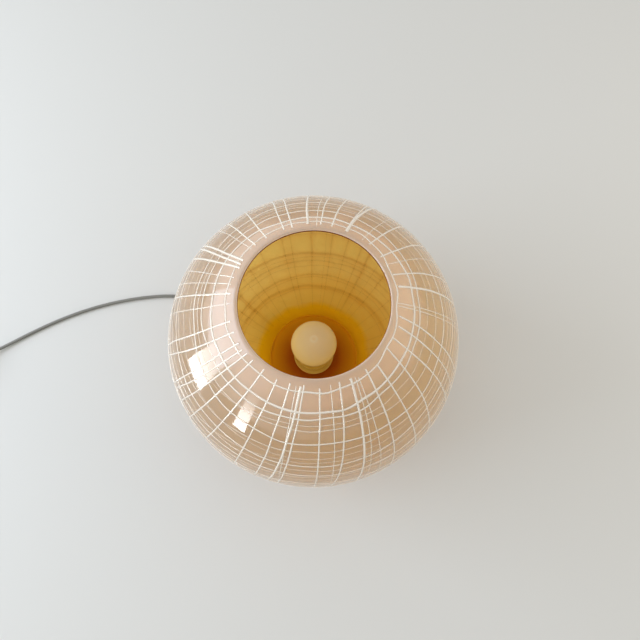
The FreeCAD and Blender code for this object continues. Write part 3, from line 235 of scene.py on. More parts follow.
# %% Wrap the tie round the coil
TIE_BEARING = math.radians(300)
TIE_NEAR, TIE_FAR, TIE_TOP = 17.2, 42.8, 12.7
TIE_CORNER = 3.6
TIE_CORNER_STEPS = 6
# How far each loop of the band lies across its width, and how far in from its outer face
TIE_SECTION = [
    (-5, 0.25), (-4.7, 0), (4.7, 0), (5, 0.25), (5, 0.55), (4.7, 0.8), (-4.7, 0.8), (-5, 0.55),
]

outward = Vector((math.cos(TIE_BEARING), math.sin(TIE_BEARING), 0))
sideways = Vector((-outward.y, outward.x, 0))
tie_points = []
for width_place, inset in TIE_SECTION:
    for corner in range(4):
        reach = TIE_FAR - TIE_CORNER if corner in (0, 3) else TIE_NEAR + TIE_CORNER
        level = TIE_TOP - TIE_CORNER if corner in (0, 1) else TIE_CORNER
        for step in range(TIE_CORNER_STEPS + 1):
            angle = math.radians(90 * (corner + step / TIE_CORNER_STEPS))
            out = reach + (TIE_CORNER - inset) * math.cos(angle)
            up = level + (TIE_CORNER - inset) * math.sin(angle)
            place = COIL_CENTRE + outward * out + sideways * width_place + Vector((0, 0, up))
            tie_points.append(place * MM)
around = 4 * (TIE_CORNER_STEPS + 1)
tie_faces = []
for loop in range(len(TIE_SECTION)):
    this, following = loop * around, (loop + 1) % len(TIE_SECTION) * around
    for point in range(around):
        onward = (point + 1) % around
        tie_faces.append((this + point, following + point, following + onward, this + onward))
tie_mesh = bpy.data.meshes.new("coil_tie_strap")
tie_mesh.from_pydata(tie_points, [], tie_faces)
tie_mesh.shade_smooth()
tie = bpy.data.objects.new("coil_tie_strap", tie_mesh)
scene.collection.objects.link(tie)
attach(tie, "lamp")
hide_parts("coil_tie")
print("tie:", len(tie_faces), "faces")

# %% Run the cord on to the plug
plug_route = [
    on_switch_axis(25, 9),
    on_switch_axis(43, 9),
    on_switch_axis(61, 6),
    on_switch_axis(76, COIL_LEVEL),
    on_switch_axis(90, COIL_LEVEL),
    *coil_turns,
    (-640.77, -144.08, 9.2),
    (-640.77, -158.08, 9.2),
    (-638.5, -177, 6.85),
    (-638.5, -192, 6.85),
]
plug_cord = lay_cord("plug_cord", plug_route)
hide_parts("cord_switch_lead", "cord_coil", "cord_plug_lead")
print("plug cord:", len(plug_route), "points")

# %% [markdown]
# ## Tools for the finishes
# Every finish is a small node tree. Colours are written as the hex values that a colour picker shows,
# and one function turns them to the linear values that the shaders need. One function adds any node: it
# takes the node's settings, and for each input either a value or the socket to link.

# %% Three helpers for node trees
def linear(hex_colour):
    """An sRGB hex colour as linear red, green, blue and alpha."""
    shares = [int(hex_colour[start:start + 2], 16) / 255 for start in (0, 2, 4)]
    return [s / 12.92 if s <= 0.04045 else ((s + 0.055) / 1.055) ** 2.4 for s in shares] + [1.0]


def add(tree, kind, inputs=None, **settings):
    """Adds a node. An input given as a socket is linked, and any other is set."""
    node = tree.nodes.new(kind)
    for name, setting in settings.items():
        setattr(node, name, setting)
    for key, given in (inputs or {}).items():
        if isinstance(given, bpy.types.NodeSocket):
            tree.links.new(given, node.inputs[key])
        else:
            node.inputs[key].default_value = given
    return node


def empty_finish(name):
    """A material with an empty node tree."""
    material = bpy.data.materials.new(name)
    material.use_nodes = True
    material.node_tree.nodes.clear()
    return material, material.node_tree


print("white is", linear("FFFFFF"))

# %% [markdown]
# ## The floor and the light
# The lamp stands on a plain pale floor, with more light from its left. A picture of a room could light
# it, but plain soft light shows a finish as it is. The world gives even pale light, a large cool lamp
# lights the left side, a weak warm one the right, and two cards that only gloss can see give the glass
# its two white glints.

# %% Lay the floor
FLOOR_SIZE = 6.0
FLOOR_DROP = 0.0002

floor_mesh = bpy.data.meshes.new("pale_floor")
half = FLOOR_SIZE / 2
corners = [(-half, -half), (half, -half), (half, half), (-half, half)]
floor_mesh.from_pydata([(x, y, -FLOOR_DROP) for x, y in corners], [], [(0, 1, 2, 3)])
floor = bpy.data.objects.new("pale_floor", floor_mesh)
scene.collection.objects.link(floor)

# White satin laminate: an even, pale, slightly dull surface
floor_finish, tree = empty_finish("satin_laminate")
floor_shader = add(tree, "ShaderNodeBsdfPrincipled", {
    "Base Color": linear("DDDBD3"), "Roughness": 0.6, "Specular IOR Level": 0.2,
})
add(tree, "ShaderNodeOutputMaterial", {"Surface": floor_shader.outputs["BSDF"]})
floor_mesh.materials.append(floor_finish)
print("floor:", FLOOR_SIZE, "m")

# %% Set the world
WORLD_LIGHT = 0.74
FRONT_LIGHT = 0.6
HORIZON_SEEN = 0.9
ZENITH_SEEN = 0.2
LEFT_SEEN = 1.95
# How far past the middle the front and the left side fade out
SIDE_FADE = 0.2

world = bpy.data.worlds.new("pale_world")
scene.world = world
world.use_nodes = True
tree = world.node_tree
tree.nodes.clear()
path = add(tree, "ShaderNodeLightPath")
camera_or_gloss = add(tree, "ShaderNodeMath", {
    0: path.outputs["Is Camera Ray"], 1: path.outputs["Is Glossy Ray"],
}, operation="MAXIMUM")
seen = add(tree, "ShaderNodeMath", {
    0: camera_or_gloss.outputs[0], 1: path.outputs["Is Transmission Ray"],
}, operation="MAXIMUM")
direction = add(tree, "ShaderNodeTexCoord")
heading = add(tree, "ShaderNodeSeparateXYZ", {"Vector": direction.outputs["Generated"]})
# It is dim overhead, so gloss mirrors little from there
shown = add(tree, "ShaderNodeMapRange", {
    "Value": heading.outputs["Z"], "To Min": HORIZON_SEEN, "To Max": ZENITH_SEEN,
})
# Less light comes from the front
given_light = add(tree, "ShaderNodeMapRange", {
    "Value": heading.outputs["Y"], "From Min": -1.0, "From Max": SIDE_FADE,
    "To Min": FRONT_LIGHT, "To Max": WORLD_LIGHT,
})
strength = add(tree, "ShaderNodeMapRange", {
    "Value": seen.outputs[0], "To Min": given_light.outputs["Result"], "To Max": shown.outputs["Result"],
})
# Gloss also mirrors a brighter left side
left_side = add(tree, "ShaderNodeMapRange", {
    "Value": heading.outputs["X"], "From Min": -1.0, "From Max": SIDE_FADE,
    "To Min": LEFT_SEEN, "To Max": 0.0,
})
with_left = add(tree, "ShaderNodeMath", {
    0: left_side.outputs["Result"], 1: path.outputs["Is Glossy Ray"], 2: strength.outputs["Result"],
}, operation="MULTIPLY_ADD")
background = add(tree, "ShaderNodeBackground", {
    "Color": linear("FCFDFF"), "Strength": with_left.outputs[0],
})
add(tree, "ShaderNodeOutputWorld", {"Surface": background.outputs["Background"]})
print("world:", len(tree.nodes), "nodes")

# %% Set the lamps
LAMP_MIDDLE = (0, 0, 0.15)
COOL_WHITE, WARM_WHITE = "DCEAFF", "FFF2E2"
LEFT_PLACE, LEFT_SIZE, LEFT_POWER = (-1.6, -0.06, 0.87), (1.5, 1.2), 23
FILL_PLACE, FILL_SIZE, FILL_POWER = (1.3, 0.2, 0.8), (1.2, 1.0), 3
WIDE_CARD_PLACE, WIDE_CARD_AIM = (-0.665, -0.23, 0.24), (-0.0955, -0.0585, 0.26)
WIDE_CARD_SIZE, WIDE_CARD_POWER = (0.19, 0.44), 3.8
NARROW_CARD_PLACE, NARROW_CARD_AIM = (-0.412, -0.559, 0.267), (-0.0566, -0.1021, 0.28)
NARROW_CARD_SIZE, NARROW_CARD_POWER = (0.085, 0.36), 1.6
# The cards fade towards their tops, as the glints do towards the mouth
FADE_START, CARD_TOP_SHARE = 0.2, 0.06


def soft_lamp(name, place, aim, size, power, colour="FFFFFF", top_share=1.0):
    """A rectangular soft lamp that faces a point, its height upright, and may fade towards its top."""
    data = bpy.data.lights.new(name, "AREA")
    data.shape = "RECTANGLE"
    data.size, data.size_y = size
    data.energy = power
    data.color = linear(colour)[:3]
    data.use_nodes = True
    tree = data.node_tree
    tree.nodes.clear()
    spot = add(tree, "ShaderNodeNewGeometry")
    height = add(tree, "ShaderNodeSeparateXYZ", {"Vector": spot.outputs["Parametric"]})
    fading = add(tree, "ShaderNodeMapRange", {
        "Value": height.outputs["Y"], "From Min": FADE_START, "To Min": 1.0, "To Max": top_share,
    }, interpolation_type="SMOOTHSTEP")
    glow = add(tree, "ShaderNodeEmission", {"Strength": fading.outputs["Result"]})
    add(tree, "ShaderNodeOutputLight", {"Surface": glow.outputs["Emission"]})
    lamp = bpy.data.objects.new(name, data)
    lamp.rotation_euler = (Vector(aim) - Vector(place)).to_track_quat("-Z", "Y").to_euler()
    lamp.location = place
    scene.collection.objects.link(lamp)
    return lamp


soft_lamp("left_light", LEFT_PLACE, LAMP_MIDDLE, LEFT_SIZE, LEFT_POWER, COOL_WHITE)
soft_lamp("right_fill", FILL_PLACE, LAMP_MIDDLE, FILL_SIZE, FILL_POWER, WARM_WHITE)
wide_card = soft_lamp("wide_card", WIDE_CARD_PLACE, WIDE_CARD_AIM,
                      WIDE_CARD_SIZE, WIDE_CARD_POWER, top_share=CARD_TOP_SHARE)
narrow_card = soft_lamp("narrow_card", NARROW_CARD_PLACE, NARROW_CARD_AIM,
                        NARROW_CARD_SIZE, NARROW_CARD_POWER, top_share=CARD_TOP_SHARE)
card_targets = bpy.data.collections.new("card_targets")
for card in (wide_card, narrow_card):
    card.visible_diffuse = False
    card.visible_camera = False
    card.visible_transmission = False
    # Only the glass and its threads mirror the cards, so that the switch and the plug don't shine
    card.light_linking.receiver_collection = card_targets

# %% [markdown]
# ## The glass
# The vessel was blown in two layers: opaline beige over amber. Its wall is one profile turned round the
# axis: a lower arc from the foot hole to the belly, a longer arc from the belly to the mouth, a rounded
# lip, and the same arcs again a wall's thickness inside. A Screw modifier could turn it, but a Geometry
# Nodes tree also gives the outer wall, the lip's cut edge and the inner wall their own finishes.

# %% Draw the profile of the glass
BELLY_LEVEL = 149.0
LOWER_ARC = 125.0
SHOULDER_ARC = 205.4
GLASS_WALL = 4.0
FOOT_HOLE = 54.0
MOUTH_MIDDLE = 72.4
LIP_ARC = 2.2
WALL_STEPS = 60
LIP_STEPS = 10

belly_radius = round(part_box("glass_body")[1].x / MM, 1)
lower_centre = belly_radius - LOWER_ARC
shoulder_centre = belly_radius - SHOULDER_ARC
mouth_rise = math.degrees(math.acos((MOUTH_MIDDLE - shoulder_centre) / (SHOULDER_ARC - GLASS_WALL / 2)))
foot_rise = -math.degrees(math.acos((FOOT_HOLE - lower_centre) / LOWER_ARC))
inner_foot_rise = -math.degrees(math.acos((FOOT_HOLE - lower_centre) / (LOWER_ARC - GLASS_WALL)))


def wall_point(rise, depth=0.0):
    """Radius and height of the wall at a rise in degrees from the belly, a depth below its face."""
    angle = math.radians(rise)
    centre, arc = (shoulder_centre, SHOULDER_ARC) if rise > 0 else (lower_centre, LOWER_ARC)
    return centre + (arc - depth) * math.cos(angle), BELLY_LEVEL + (arc - depth) * math.sin(angle)


def steps(first, last, count):
    """Evenly spaced values from the first to the last, both included."""
    return [first + (last - first) * number / count for number in range(count + 1)]


def lip_points(count):
    """The rounded lip, from the outer wall over the top to the inner wall."""
    radius, level = wall_point(mouth_rise, GLASS_WALL / 2)
    setback = math.sqrt(LIP_ARC**2 - (GLASS_WALL / 2) ** 2)
    rise = math.radians(mouth_rise)
    middle_radius = radius + setback * math.sin(rise)
    middle_level = level - setback * math.cos(rise)
    reach = math.degrees(math.asin(GLASS_WALL / 2 / LIP_ARC))
    points = []
    for turn in steps(mouth_rise + 90 - reach, mouth_rise + 90 + reach, count)[1:-1]:
        angle = math.radians(turn)
        across_lip, over_lip = LIP_ARC * math.cos(angle), LIP_ARC * math.sin(angle)
        points.append((middle_radius + across_lip, middle_level + over_lip))
    return points


outer_rises = steps(foot_rise, 0, WALL_STEPS) + steps(0, mouth_rise, WALL_STEPS)[1:]
inner_rises = steps(mouth_rise, 0, WALL_STEPS)[:-1] + steps(0, inner_foot_rise, WALL_STEPS)
outer_wall = [wall_point(rise) for rise in outer_rises]
lip = lip_points(LIP_STEPS)
inner_wall = [wall_point(rise, GLASS_WALL) for rise in inner_rises]
profile = outer_wall + lip + inner_wall + outer_wall[:1]
print("profile:", len(profile), "points, its mouth", round(mouth_rise, 1), "degrees above the belly")

# %% [markdown]
# The glass lets light through and scatters it. Subsurface scattering could do that, slowly. Here each
# face of the wall mixes a milky shader with a Translucent one, so light from outside crosses both faces
# of the wall, spreads a few millimetres between them, and glows amber inside, darker behind the
# threads, where faint painted shadow lines on the inner wall add to it. A layer of gloss lies over both.
# Colours and shares follow the height. The colours carry painted light round the mouth and a deep gold
# pool of painted shade at the foot.

# %% Make a shader for cased glass
CLOUD_SIZE = 40
CLOUD_REACH = 0.06
FRONT_MIRROR = 0.043
GLANCE_POWER = 5.0


def along(tree, distance, stops):
    """A hex colour or a number that follows a distance, from stops that start with millimetres."""
    first, last = stops[0][0], stops[-1][0]
    share = add(tree, "ShaderNodeMapRange", {
        "Value": distance, "From Min": first * MM, "From Max": last * MM,
    })
    ramp = add(tree, "ShaderNodeValToRGB", {"Fac": share.outputs["Result"]})
    elements = ramp.color_ramp.elements
    while len(elements) < len(stops):
        elements.new(1.0)
    for element, (length, tone) in zip(elements, stops):
        element.position = (length - first) / (last - first)
        element.color = linear(tone) if isinstance(tone, str) else (tone, tone, tone, 1)
    return ramp.outputs["Color"]


def cased_glass(name, body, glow, shares, roughness, shine):
    """Blown glass, a little cloudy, whose colour and share of light from behind it follow its height."""
    material, tree = empty_finish(name)
    place = add(tree, "ShaderNodeTexCoord")
    height = add(tree, "ShaderNodeSeparateXYZ", {"Vector": place.outputs["Object"]})
    clouds = add(tree, "ShaderNodeTexNoise", {
        "Vector": place.outputs["Object"], "Scale": 1 / (CLOUD_SIZE * MM),
        "Detail": 3.0, "Roughness": 0.45,
    })
    cloud = add(tree, "ShaderNodeMapRange", {
        "Value": clouds.outputs["Fac"], "To Min": 1 - CLOUD_REACH, "To Max": 1 + CLOUD_REACH,
    })
    cloudy = add(tree, "ShaderNodeMath", {
        0: height.outputs["Z"], 1: cloud.outputs["Result"],
    }, operation="MULTIPLY")
    milk = add(tree, "ShaderNodeBsdfPrincipled", {
        "Base Color": along(tree, cloudy.outputs[0], body), "Roughness": 0.6, "Specular IOR Level": 0.0,
    })
    through = add(tree, "ShaderNodeBsdfTranslucent", {
        "Color": along(tree, cloudy.outputs[0], glow),
    })
    both = add(tree, "ShaderNodeMixShader", {
        "Fac": along(tree, cloudy.outputs[0], shares),
        1: milk.outputs["BSDF"], 2: through.outputs["BSDF"],
    })
    # Polished glass mirrors little from the front and almost all at a glance, from either side
    slant = add(tree, "ShaderNodeLayerWeight", {"Blend": 0.5})
    glance = add(tree, "ShaderNodeMath", {
        0: slant.outputs["Facing"], 1: GLANCE_POWER,
    }, operation="POWER")
    mirrored = add(tree, "ShaderNodeMapRange", {
        "Value": glance.outputs[0], "To Min": FRONT_MIRROR, "To Max": 1.0,
    })
    polish = add(tree, "ShaderNodeBsdfGlossy", {"Color": linear(shine), "Roughness": roughness})
    glass_shader = add(tree, "ShaderNodeMixShader", {
        "Fac": mirrored.outputs["Result"], 1: both.outputs["Shader"], 2: polish.outputs["BSDF"],
    })
    add(tree, "ShaderNodeOutputMaterial", {"Surface": glass_shader.outputs["Shader"]})
    return material


print("the glass is cloudy every", CLOUD_SIZE, "mm")

# %% [markdown]
# Most other surfaces here, ground glass, resin, rubber, wire or felt, were worked by a tool or a mould.
# Their colour varies in patches and a fine grain roughens them. A Voronoi texture could give the grain
# hard cells, but worked surfaces are soft, so both are noise, sized in millimetres.

# %% Make a shader for worked surfaces
DULL_SPREAD = 0.15
PATCH_LOW, PATCH_HIGH = 0.3, 0.7
MARK_COLOUR = "FFFFFA"
# Sockets of a Mix node that mixes colours: its share, its two colours and its result
MIX_SHARE, MIX_FIRST, MIX_SECOND, MIX_RESULT = 0, 6, 7, 2


def from_axis(tree, place):
    """The distance of each point from the lamp's upright axis."""
    flat = add(tree, "ShaderNodeVectorMath", {
        0: place.outputs["Object"], 1: (1, 1, 0),
    }, operation="MULTIPLY")
    radius = add(tree, "ShaderNodeVectorMath", {0: flat.outputs["Vector"]}, operation="LENGTH")
    return radius.outputs["Value"]


def worked(name, pale, deep, patch, grain, relief, roughness, metallic=0.0, mark=None, **more):
    """A finish with patches of colour and a grain, in millimetres, and maybe a ring mark on the axis."""
    material, tree = empty_finish(name)
    place = add(tree, "ShaderNodeTexCoord")
    patches = add(tree, "ShaderNodeTexNoise", {
        "Vector": place.outputs["Object"], "Scale": 1 / (patch * MM), "Detail": 4.0,
    })
    colour = add(tree, "ShaderNodeMix", {
        MIX_SHARE: patches.outputs["Fac"], MIX_FIRST: linear(pale), MIX_SECOND: linear(deep),
    }, data_type="RGBA")
    if mark:
        ring, soft = mark
        off_ring = add(tree, "ShaderNodeMath", {
            0: from_axis(tree, place), 1: ring * MM,
        }, operation="SUBTRACT")
        distance = add(tree, "ShaderNodeMath", {0: off_ring.outputs[0]}, operation="ABSOLUTE")
        nearness = add(tree, "ShaderNodeMapRange", {
            "Value": distance.outputs[0], "From Max": soft * MM, "To Min": 1.0, "To Max": 0.0,
        }, interpolation_type="SMOOTHSTEP")
        colour = add(tree, "ShaderNodeMix", {
            MIX_SHARE: nearness.outputs["Result"], MIX_FIRST: colour.outputs[MIX_RESULT],
            MIX_SECOND: linear(MARK_COLOUR),
        }, data_type="RGBA")
    dulling = add(tree, "ShaderNodeMapRange", {
        "Value": patches.outputs["Fac"], "From Min": PATCH_LOW, "From Max": PATCH_HIGH,
        "To Min": roughness * (1 - DULL_SPREAD), "To Max": min(roughness * (1 + DULL_SPREAD), 1.0),
    })
    fine = add(tree, "ShaderNodeTexNoise", {
        "Vector": place.outputs["Object"], "Scale": 1 / (grain * MM), "Detail": 2.0,
    })
    bump = add(tree, "ShaderNodeBump", {
        "Height": fine.outputs["Fac"], "Strength": 0.6, "Distance": relief * MM,
    })
    shader = add(tree, "ShaderNodeBsdfPrincipled", {
        "Base Color": colour.outputs[MIX_RESULT], "Roughness": dulling.outputs["Result"],
        "Metallic": metallic, "Normal": bump.outputs["Normal"], **more,
    })
    add(tree, "ShaderNodeOutputMaterial", {"Surface": shader.outputs["BSDF"]})
    return material


print("dullness varies by", DULL_SPREAD)

# %% Mix the finishes of the glass
# Each stop pairs a height in millimetres with a colour, or with the share of light from behind
# Beige opaline: milky and glossy, a little blue where it turns light back. Round the mouth it is painted
# paler, as painted light for the wall that turns up towards the dim light overhead
beige_opaline = cased_glass(
    "beige_opaline",
    [(40, "C8C4B8"), (104, "CACED0"), (300, "CED2D2"), (316, "F6F0E4")],
    [(40, "FFF6E6"), (104, "F5FBF6"), (300, "F5FBF6"), (316, "FFFAF0")],
    [(40, 0.88), (110, 0.86), (170, 0.78), (300, 0.78), (316, 0.68)],
    roughness=0.06, shine="FFFFFF")
# Ground edge: the amber layer seen edge on, a thin red-brown line
amber_edge = worked("amber_ground_edge", "7C2C0A", "6A2206", 12, 2, 0.02, 0.7,
                    **{"Specular IOR Level": 0.1})
# Amber casing: honey gold, painted paler near the top for the light that comes in by the mouth,
# and painted a deeper gold in a sharp pool at the foot, as painted shade for the shadow under the lamp
amber_casing = cased_glass(
    "amber_casing",
    [(24, "F4B404"), (31.5, "FCC80C"), (33.5, "FCD04C"), (60, "FCCC58"), (110, "F8C058"),
     (160, "F8D080")],
    [(24, "FFC80C"), (31.5, "FFD81C"), (33.5, "FFE070"), (60, "FFDE7A"), (110, "FFCE68"),
     (160, "FFDC90")],
    [(31.5, 0.42), (33.5, 0.66), (80, 0.9)],
    roughness=0.18, shine="FFC43C")
print("glass finishes:", beige_opaline.name, amber_edge.name, amber_casing.name)

# %% [markdown]
# The tree sweeps the profile round a circle. Each point of the profile carries its number, and a face
# lies in the band between two numbers, which tells whether it belongs to the outer wall, the edge or
# the inner wall.

# %% Build the tree that turns a wall
SEAM_DISTANCE = 0.001


def geometry_tree(name, inputs, output):
    """A Geometry Nodes tree with an output and named inputs, each a kind and maybe a default value."""
    group = bpy.data.node_groups.new(name, "GeometryNodeTree")
    for input_name, (kind, *default) in inputs.items():
        socket = group.interface.new_socket(input_name, in_out="INPUT", socket_type="NodeSocket" + kind)
        if default:
            socket.default_value = default[0]
    group.interface.new_socket(output, in_out="OUTPUT", socket_type="NodeSocketGeometry")
    return group


turn_tree = geometry_tree("turned_wall", {
    "Profile": ("Geometry",),
    "Rail Radius": ("Float", 0.1),
    "Segments": ("Int", 64),
    "Edge Start": ("Float", 0.0),
    "Edge End": ("Float", 0.0),
    "Outer Finish": ("Material",),
    "Edge Finish": ("Material",),
    "Inner Finish": ("Material",),
}, "Wall")
given = add(turn_tree, "NodeGroupInput").outputs
circle = add(turn_tree, "GeometryNodeCurvePrimitiveCircle", {
    "Resolution": given["Segments"], "Radius": given["Rail Radius"],
})
rail = add(turn_tree, "GeometryNodeSetCurveNormal", {"Curve": circle.outputs["Curve"]}, mode="Z_UP")
section = add(turn_tree, "GeometryNodeMeshToCurve", {"Mesh": given["Profile"]})
swept = add(turn_tree, "GeometryNodeCurveToMesh", {
    "Curve": rail.outputs["Curve"], "Profile Curve": section.outputs["Curve"],
})
number = add(turn_tree, "GeometryNodeInputNamedAttribute", {"Name": "profile_number"}, data_type="FLOAT")
banded = add(turn_tree, "GeometryNodeStoreNamedAttribute", {
    "Geometry": swept.outputs["Mesh"], "Name": "band", "Value": number.outputs["Attribute"],
}, data_type="FLOAT", domain="FACE")
# The profile ends where it began, so the last band is joined to the first
closed = add(turn_tree, "GeometryNodeMergeByDistance", {
    "Geometry": banded.outputs["Geometry"], "Distance": SEAM_DISTANCE * MM,
})
outward_faces = add(turn_tree, "GeometryNodeFlipFaces", {"Mesh": closed.outputs["Geometry"]})
smooth = add(turn_tree, "GeometryNodeSetShadeSmooth", {"Geometry": outward_faces.outputs["Mesh"]})
real = add(turn_tree, "GeometryNodeRealizeInstances", {"Geometry": smooth.outputs["Geometry"]})
band = add(turn_tree, "GeometryNodeInputNamedAttribute", {"Name": "band"}, data_type="FLOAT")
before_end = add(turn_tree, "FunctionNodeCompare", {
    0: band.outputs["Attribute"], 1: given["Edge End"],
}, operation="LESS_THAN")
before_start = add(turn_tree, "FunctionNodeCompare", {
    0: band.outputs["Attribute"], 1: given["Edge Start"],
}, operation="LESS_THAN")
inside = add(turn_tree, "GeometryNodeSetMaterial", {
    "Geometry": real.outputs["Geometry"], "Material": given["Inner Finish"],
})
edged = add(turn_tree, "GeometryNodeSetMaterial", {
    "Geometry": inside.outputs["Geometry"], "Selection": before_end.outputs["Result"],
    "Material": given["Edge Finish"],
})
dressed = add(turn_tree, "GeometryNodeSetMaterial", {
    "Geometry": edged.outputs["Geometry"], "Selection": before_start.outputs["Result"],
    "Material": given["Outer Finish"],
})
add(turn_tree, "NodeGroupOutput", {"Wall": dressed.outputs["Geometry"]})
print("turning tree:", len(turn_tree.nodes), "nodes")

# %% Turn the glass
GLASS_SEGMENTS = 256
LIP_EDGE_BANDS = 5
RAIL_RADIUS = 100.0


def grown(name, guide_mesh, tree, inputs):
    """A piece whose plain mesh a node tree makes from a guide mesh."""
    piece = bpy.data.objects.new(name, guide_mesh)
    scene.collection.objects.link(piece)
    modifier = piece.modifiers.new(tree.name, "NODES")
    modifier.node_group = tree
    sockets = tree.interface.items_tree
    names = {socket.name: socket.identifier for socket in sockets if socket.in_out == "INPUT"}
    for input_name, given_value in inputs.items():
        modifier[names[input_name]] = given_value
    bpy.context.view_layer.update()
    evaluated = piece.evaluated_get(bpy.context.evaluated_depsgraph_get())
    plain_mesh = bpy.data.meshes.new_from_object(evaluated)
    piece.modifiers.remove(modifier)
    piece.data = plain_mesh
    return piece


# The sweep lays a section's X outward from the rail and its Y downward
section_points = [((radius - RAIL_RADIUS) * MM, -level * MM, 0) for radius, level in profile]
section_edges = [(number, number + 1) for number in range(len(profile) - 1)]
section_mesh = bpy.data.meshes.new("glass_profile")
section_mesh.from_pydata(section_points, section_edges, [])
numbers = section_mesh.attributes.new("profile_number", "FLOAT", "POINT")
numbers.data.foreach_set("value", [float(number) for number in range(len(profile))])
edge_end = len(outer_wall) + len(lip)
glass = grown("glass_vessel", section_mesh, turn_tree, {
    "Rail Radius": RAIL_RADIUS * MM, "Segments": GLASS_SEGMENTS,
    "Edge Start": float(edge_end - LIP_EDGE_BANDS), "Edge End": float(edge_end),
    "Outer Finish": beige_opaline, "Edge Finish": amber_edge, "Inner Finish": amber_casing,
})
card_targets.objects.link(glass)
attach(glass, "lamp")
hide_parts("glass_body")
print("glass:", len(glass.data.polygons), "faces,", [finish.name for finish in glass.data.materials])

# %% [markdown]
# ## The white threads
# While the glass was hot, threads of white glass were trailed over it, down from the mouth and round
# it, by hand, so they wander, double and cross unevenly. They could be painted on with a texture, but
# they stand proud and catch the light. Each thread starts as a rough guide line. One Geometry Nodes
# tree makes the bead: it smooths and divides the line, lets it wander, drops it on the glass and sweeps
# a flat oval along it.

# %% Build the thread tree
RIPPLES_IN_A_METRE = 70.0
BEAD_SIDES = 6

thread_tree = geometry_tree("trailed_thread", {
    "Guides": ("Geometry",),
    "Glass": ("Object",),
    "Spacing": ("Float", 0.004),
    "Wander": ("Float", 0.0015),
    "Wander Size": ("Float", 0.06),
    "Unevenness": ("Float", 0.35),
    "Flatness": ("Float", 0.45),
    "Seed": ("Float", 0.0),
    "Finish": ("Material",),
}, "Threads")
given = add(thread_tree, "NodeGroupInput").outputs
line = add(thread_tree, "GeometryNodeMeshToCurve", {"Mesh": given["Guides"]})
flowing = add(thread_tree, "GeometryNodeCurveSplineType", {
    "Curve": line.outputs["Curve"],
}, spline_type="CATMULL_ROM")
divided = add(thread_tree, "GeometryNodeResampleCurve", {
    "Curve": flowing.outputs["Curve"], "Length": given["Spacing"],
}, mode="LENGTH")
fineness = add(thread_tree, "ShaderNodeMath", {0: 1.0, 1: given["Wander Size"]}, operation="DIVIDE")
drift = add(thread_tree, "ShaderNodeTexNoise", {
    "W": given["Seed"], "Scale": fineness.outputs[0], "Detail": 1.0,
}, noise_dimensions="4D")
centred = add(thread_tree, "ShaderNodeVectorMath", {
    0: drift.outputs["Color"], 1: (0.5, 0.5, 0.5),
}, operation="SUBTRACT")
twice = add(thread_tree, "ShaderNodeMath", {0: given["Wander"], 1: 2.0}, operation="MULTIPLY")
wander = add(thread_tree, "ShaderNodeVectorMath", {
    0: centred.outputs["Vector"], "Scale": twice.outputs[0],
}, operation="SCALE")
wandered = add(thread_tree, "GeometryNodeSetPosition", {
    "Geometry": divided.outputs["Curve"], "Offset": wander.outputs["Vector"],
})
vessel = add(thread_tree, "GeometryNodeObjectInfo", {"Object": given["Glass"]})
nearest = add(thread_tree, "GeometryNodeProximity", {
    "Geometry": vessel.outputs["Geometry"],
}, target_element="FACES")
laid = add(thread_tree, "GeometryNodeSetPosition", {
    "Geometry": wandered.outputs["Geometry"], "Position": nearest.outputs["Position"],
})
face_normal = add(thread_tree, "GeometryNodeInputNormal")
wall_normal = add(thread_tree, "GeometryNodeSampleNearestSurface", {
    "Mesh": vessel.outputs["Geometry"], "Value": face_normal.outputs["Normal"],
}, data_type="FLOAT_VECTOR")
standing = add(thread_tree, "GeometryNodeSetCurveNormal", {
    "Curve": laid.outputs["Geometry"], "Normal": wall_normal.outputs["Value"],
}, mode="FREE")
width = add(thread_tree, "GeometryNodeInputNamedAttribute", {"Name": "bead_width"}, data_type="FLOAT")
ripple = add(thread_tree, "ShaderNodeTexNoise", {
    "W": given["Seed"], "Scale": RIPPLES_IN_A_METRE, "Detail": 1.0,
}, noise_dimensions="4D")
swing = add(thread_tree, "ShaderNodeMath", {0: ripple.outputs["Fac"], 1: 0.5}, operation="SUBTRACT")
swell = add(thread_tree, "ShaderNodeMath", {
    0: swing.outputs[0], 1: given["Unevenness"], 2: 0.5,
}, operation="MULTIPLY_ADD")
half_width = add(thread_tree, "ShaderNodeMath", {
    0: width.outputs["Attribute"], 1: swell.outputs[0],
}, operation="MULTIPLY")
round_bead = add(thread_tree, "GeometryNodeCurvePrimitiveCircle", {
    "Resolution": BEAD_SIDES, "Radius": 1.0,
})
oval_scale = add(thread_tree, "ShaderNodeCombineXYZ", {"X": given["Flatness"], "Y": 1.0, "Z": 1.0})
oval = add(thread_tree, "GeometryNodeTransform", {
    "Geometry": round_bead.outputs["Curve"], "Scale": oval_scale.outputs["Vector"],
})
bead = add(thread_tree, "GeometryNodeCurveToMesh", {
    "Curve": standing.outputs["Curve"], "Profile Curve": oval.outputs["Geometry"],
    "Scale": half_width.outputs[0], "Fill Caps": True,
})
smooth = add(thread_tree, "GeometryNodeSetShadeSmooth", {"Geometry": bead.outputs["Mesh"]})
real = add(thread_tree, "GeometryNodeRealizeInstances", {"Geometry": smooth.outputs["Geometry"]})
white = add(thread_tree, "GeometryNodeSetMaterial", {
    "Geometry": real.outputs["Geometry"], "Material": given["Finish"],
})
add(thread_tree, "NodeGroupOutput", {"Threads": white.outputs["Geometry"]})
print("thread tree:", len(thread_tree.nodes), "nodes")

# %% [markdown]
# White opal glass has a soft gloss and lets very little light through. The guides come in two families.
# Each thread that runs down is given by its bearing at the mouth, how far it leans by the shoulder, and
# its bead. Each thread that runs round is given by its rise from the belly at the front, right, back
# and left.

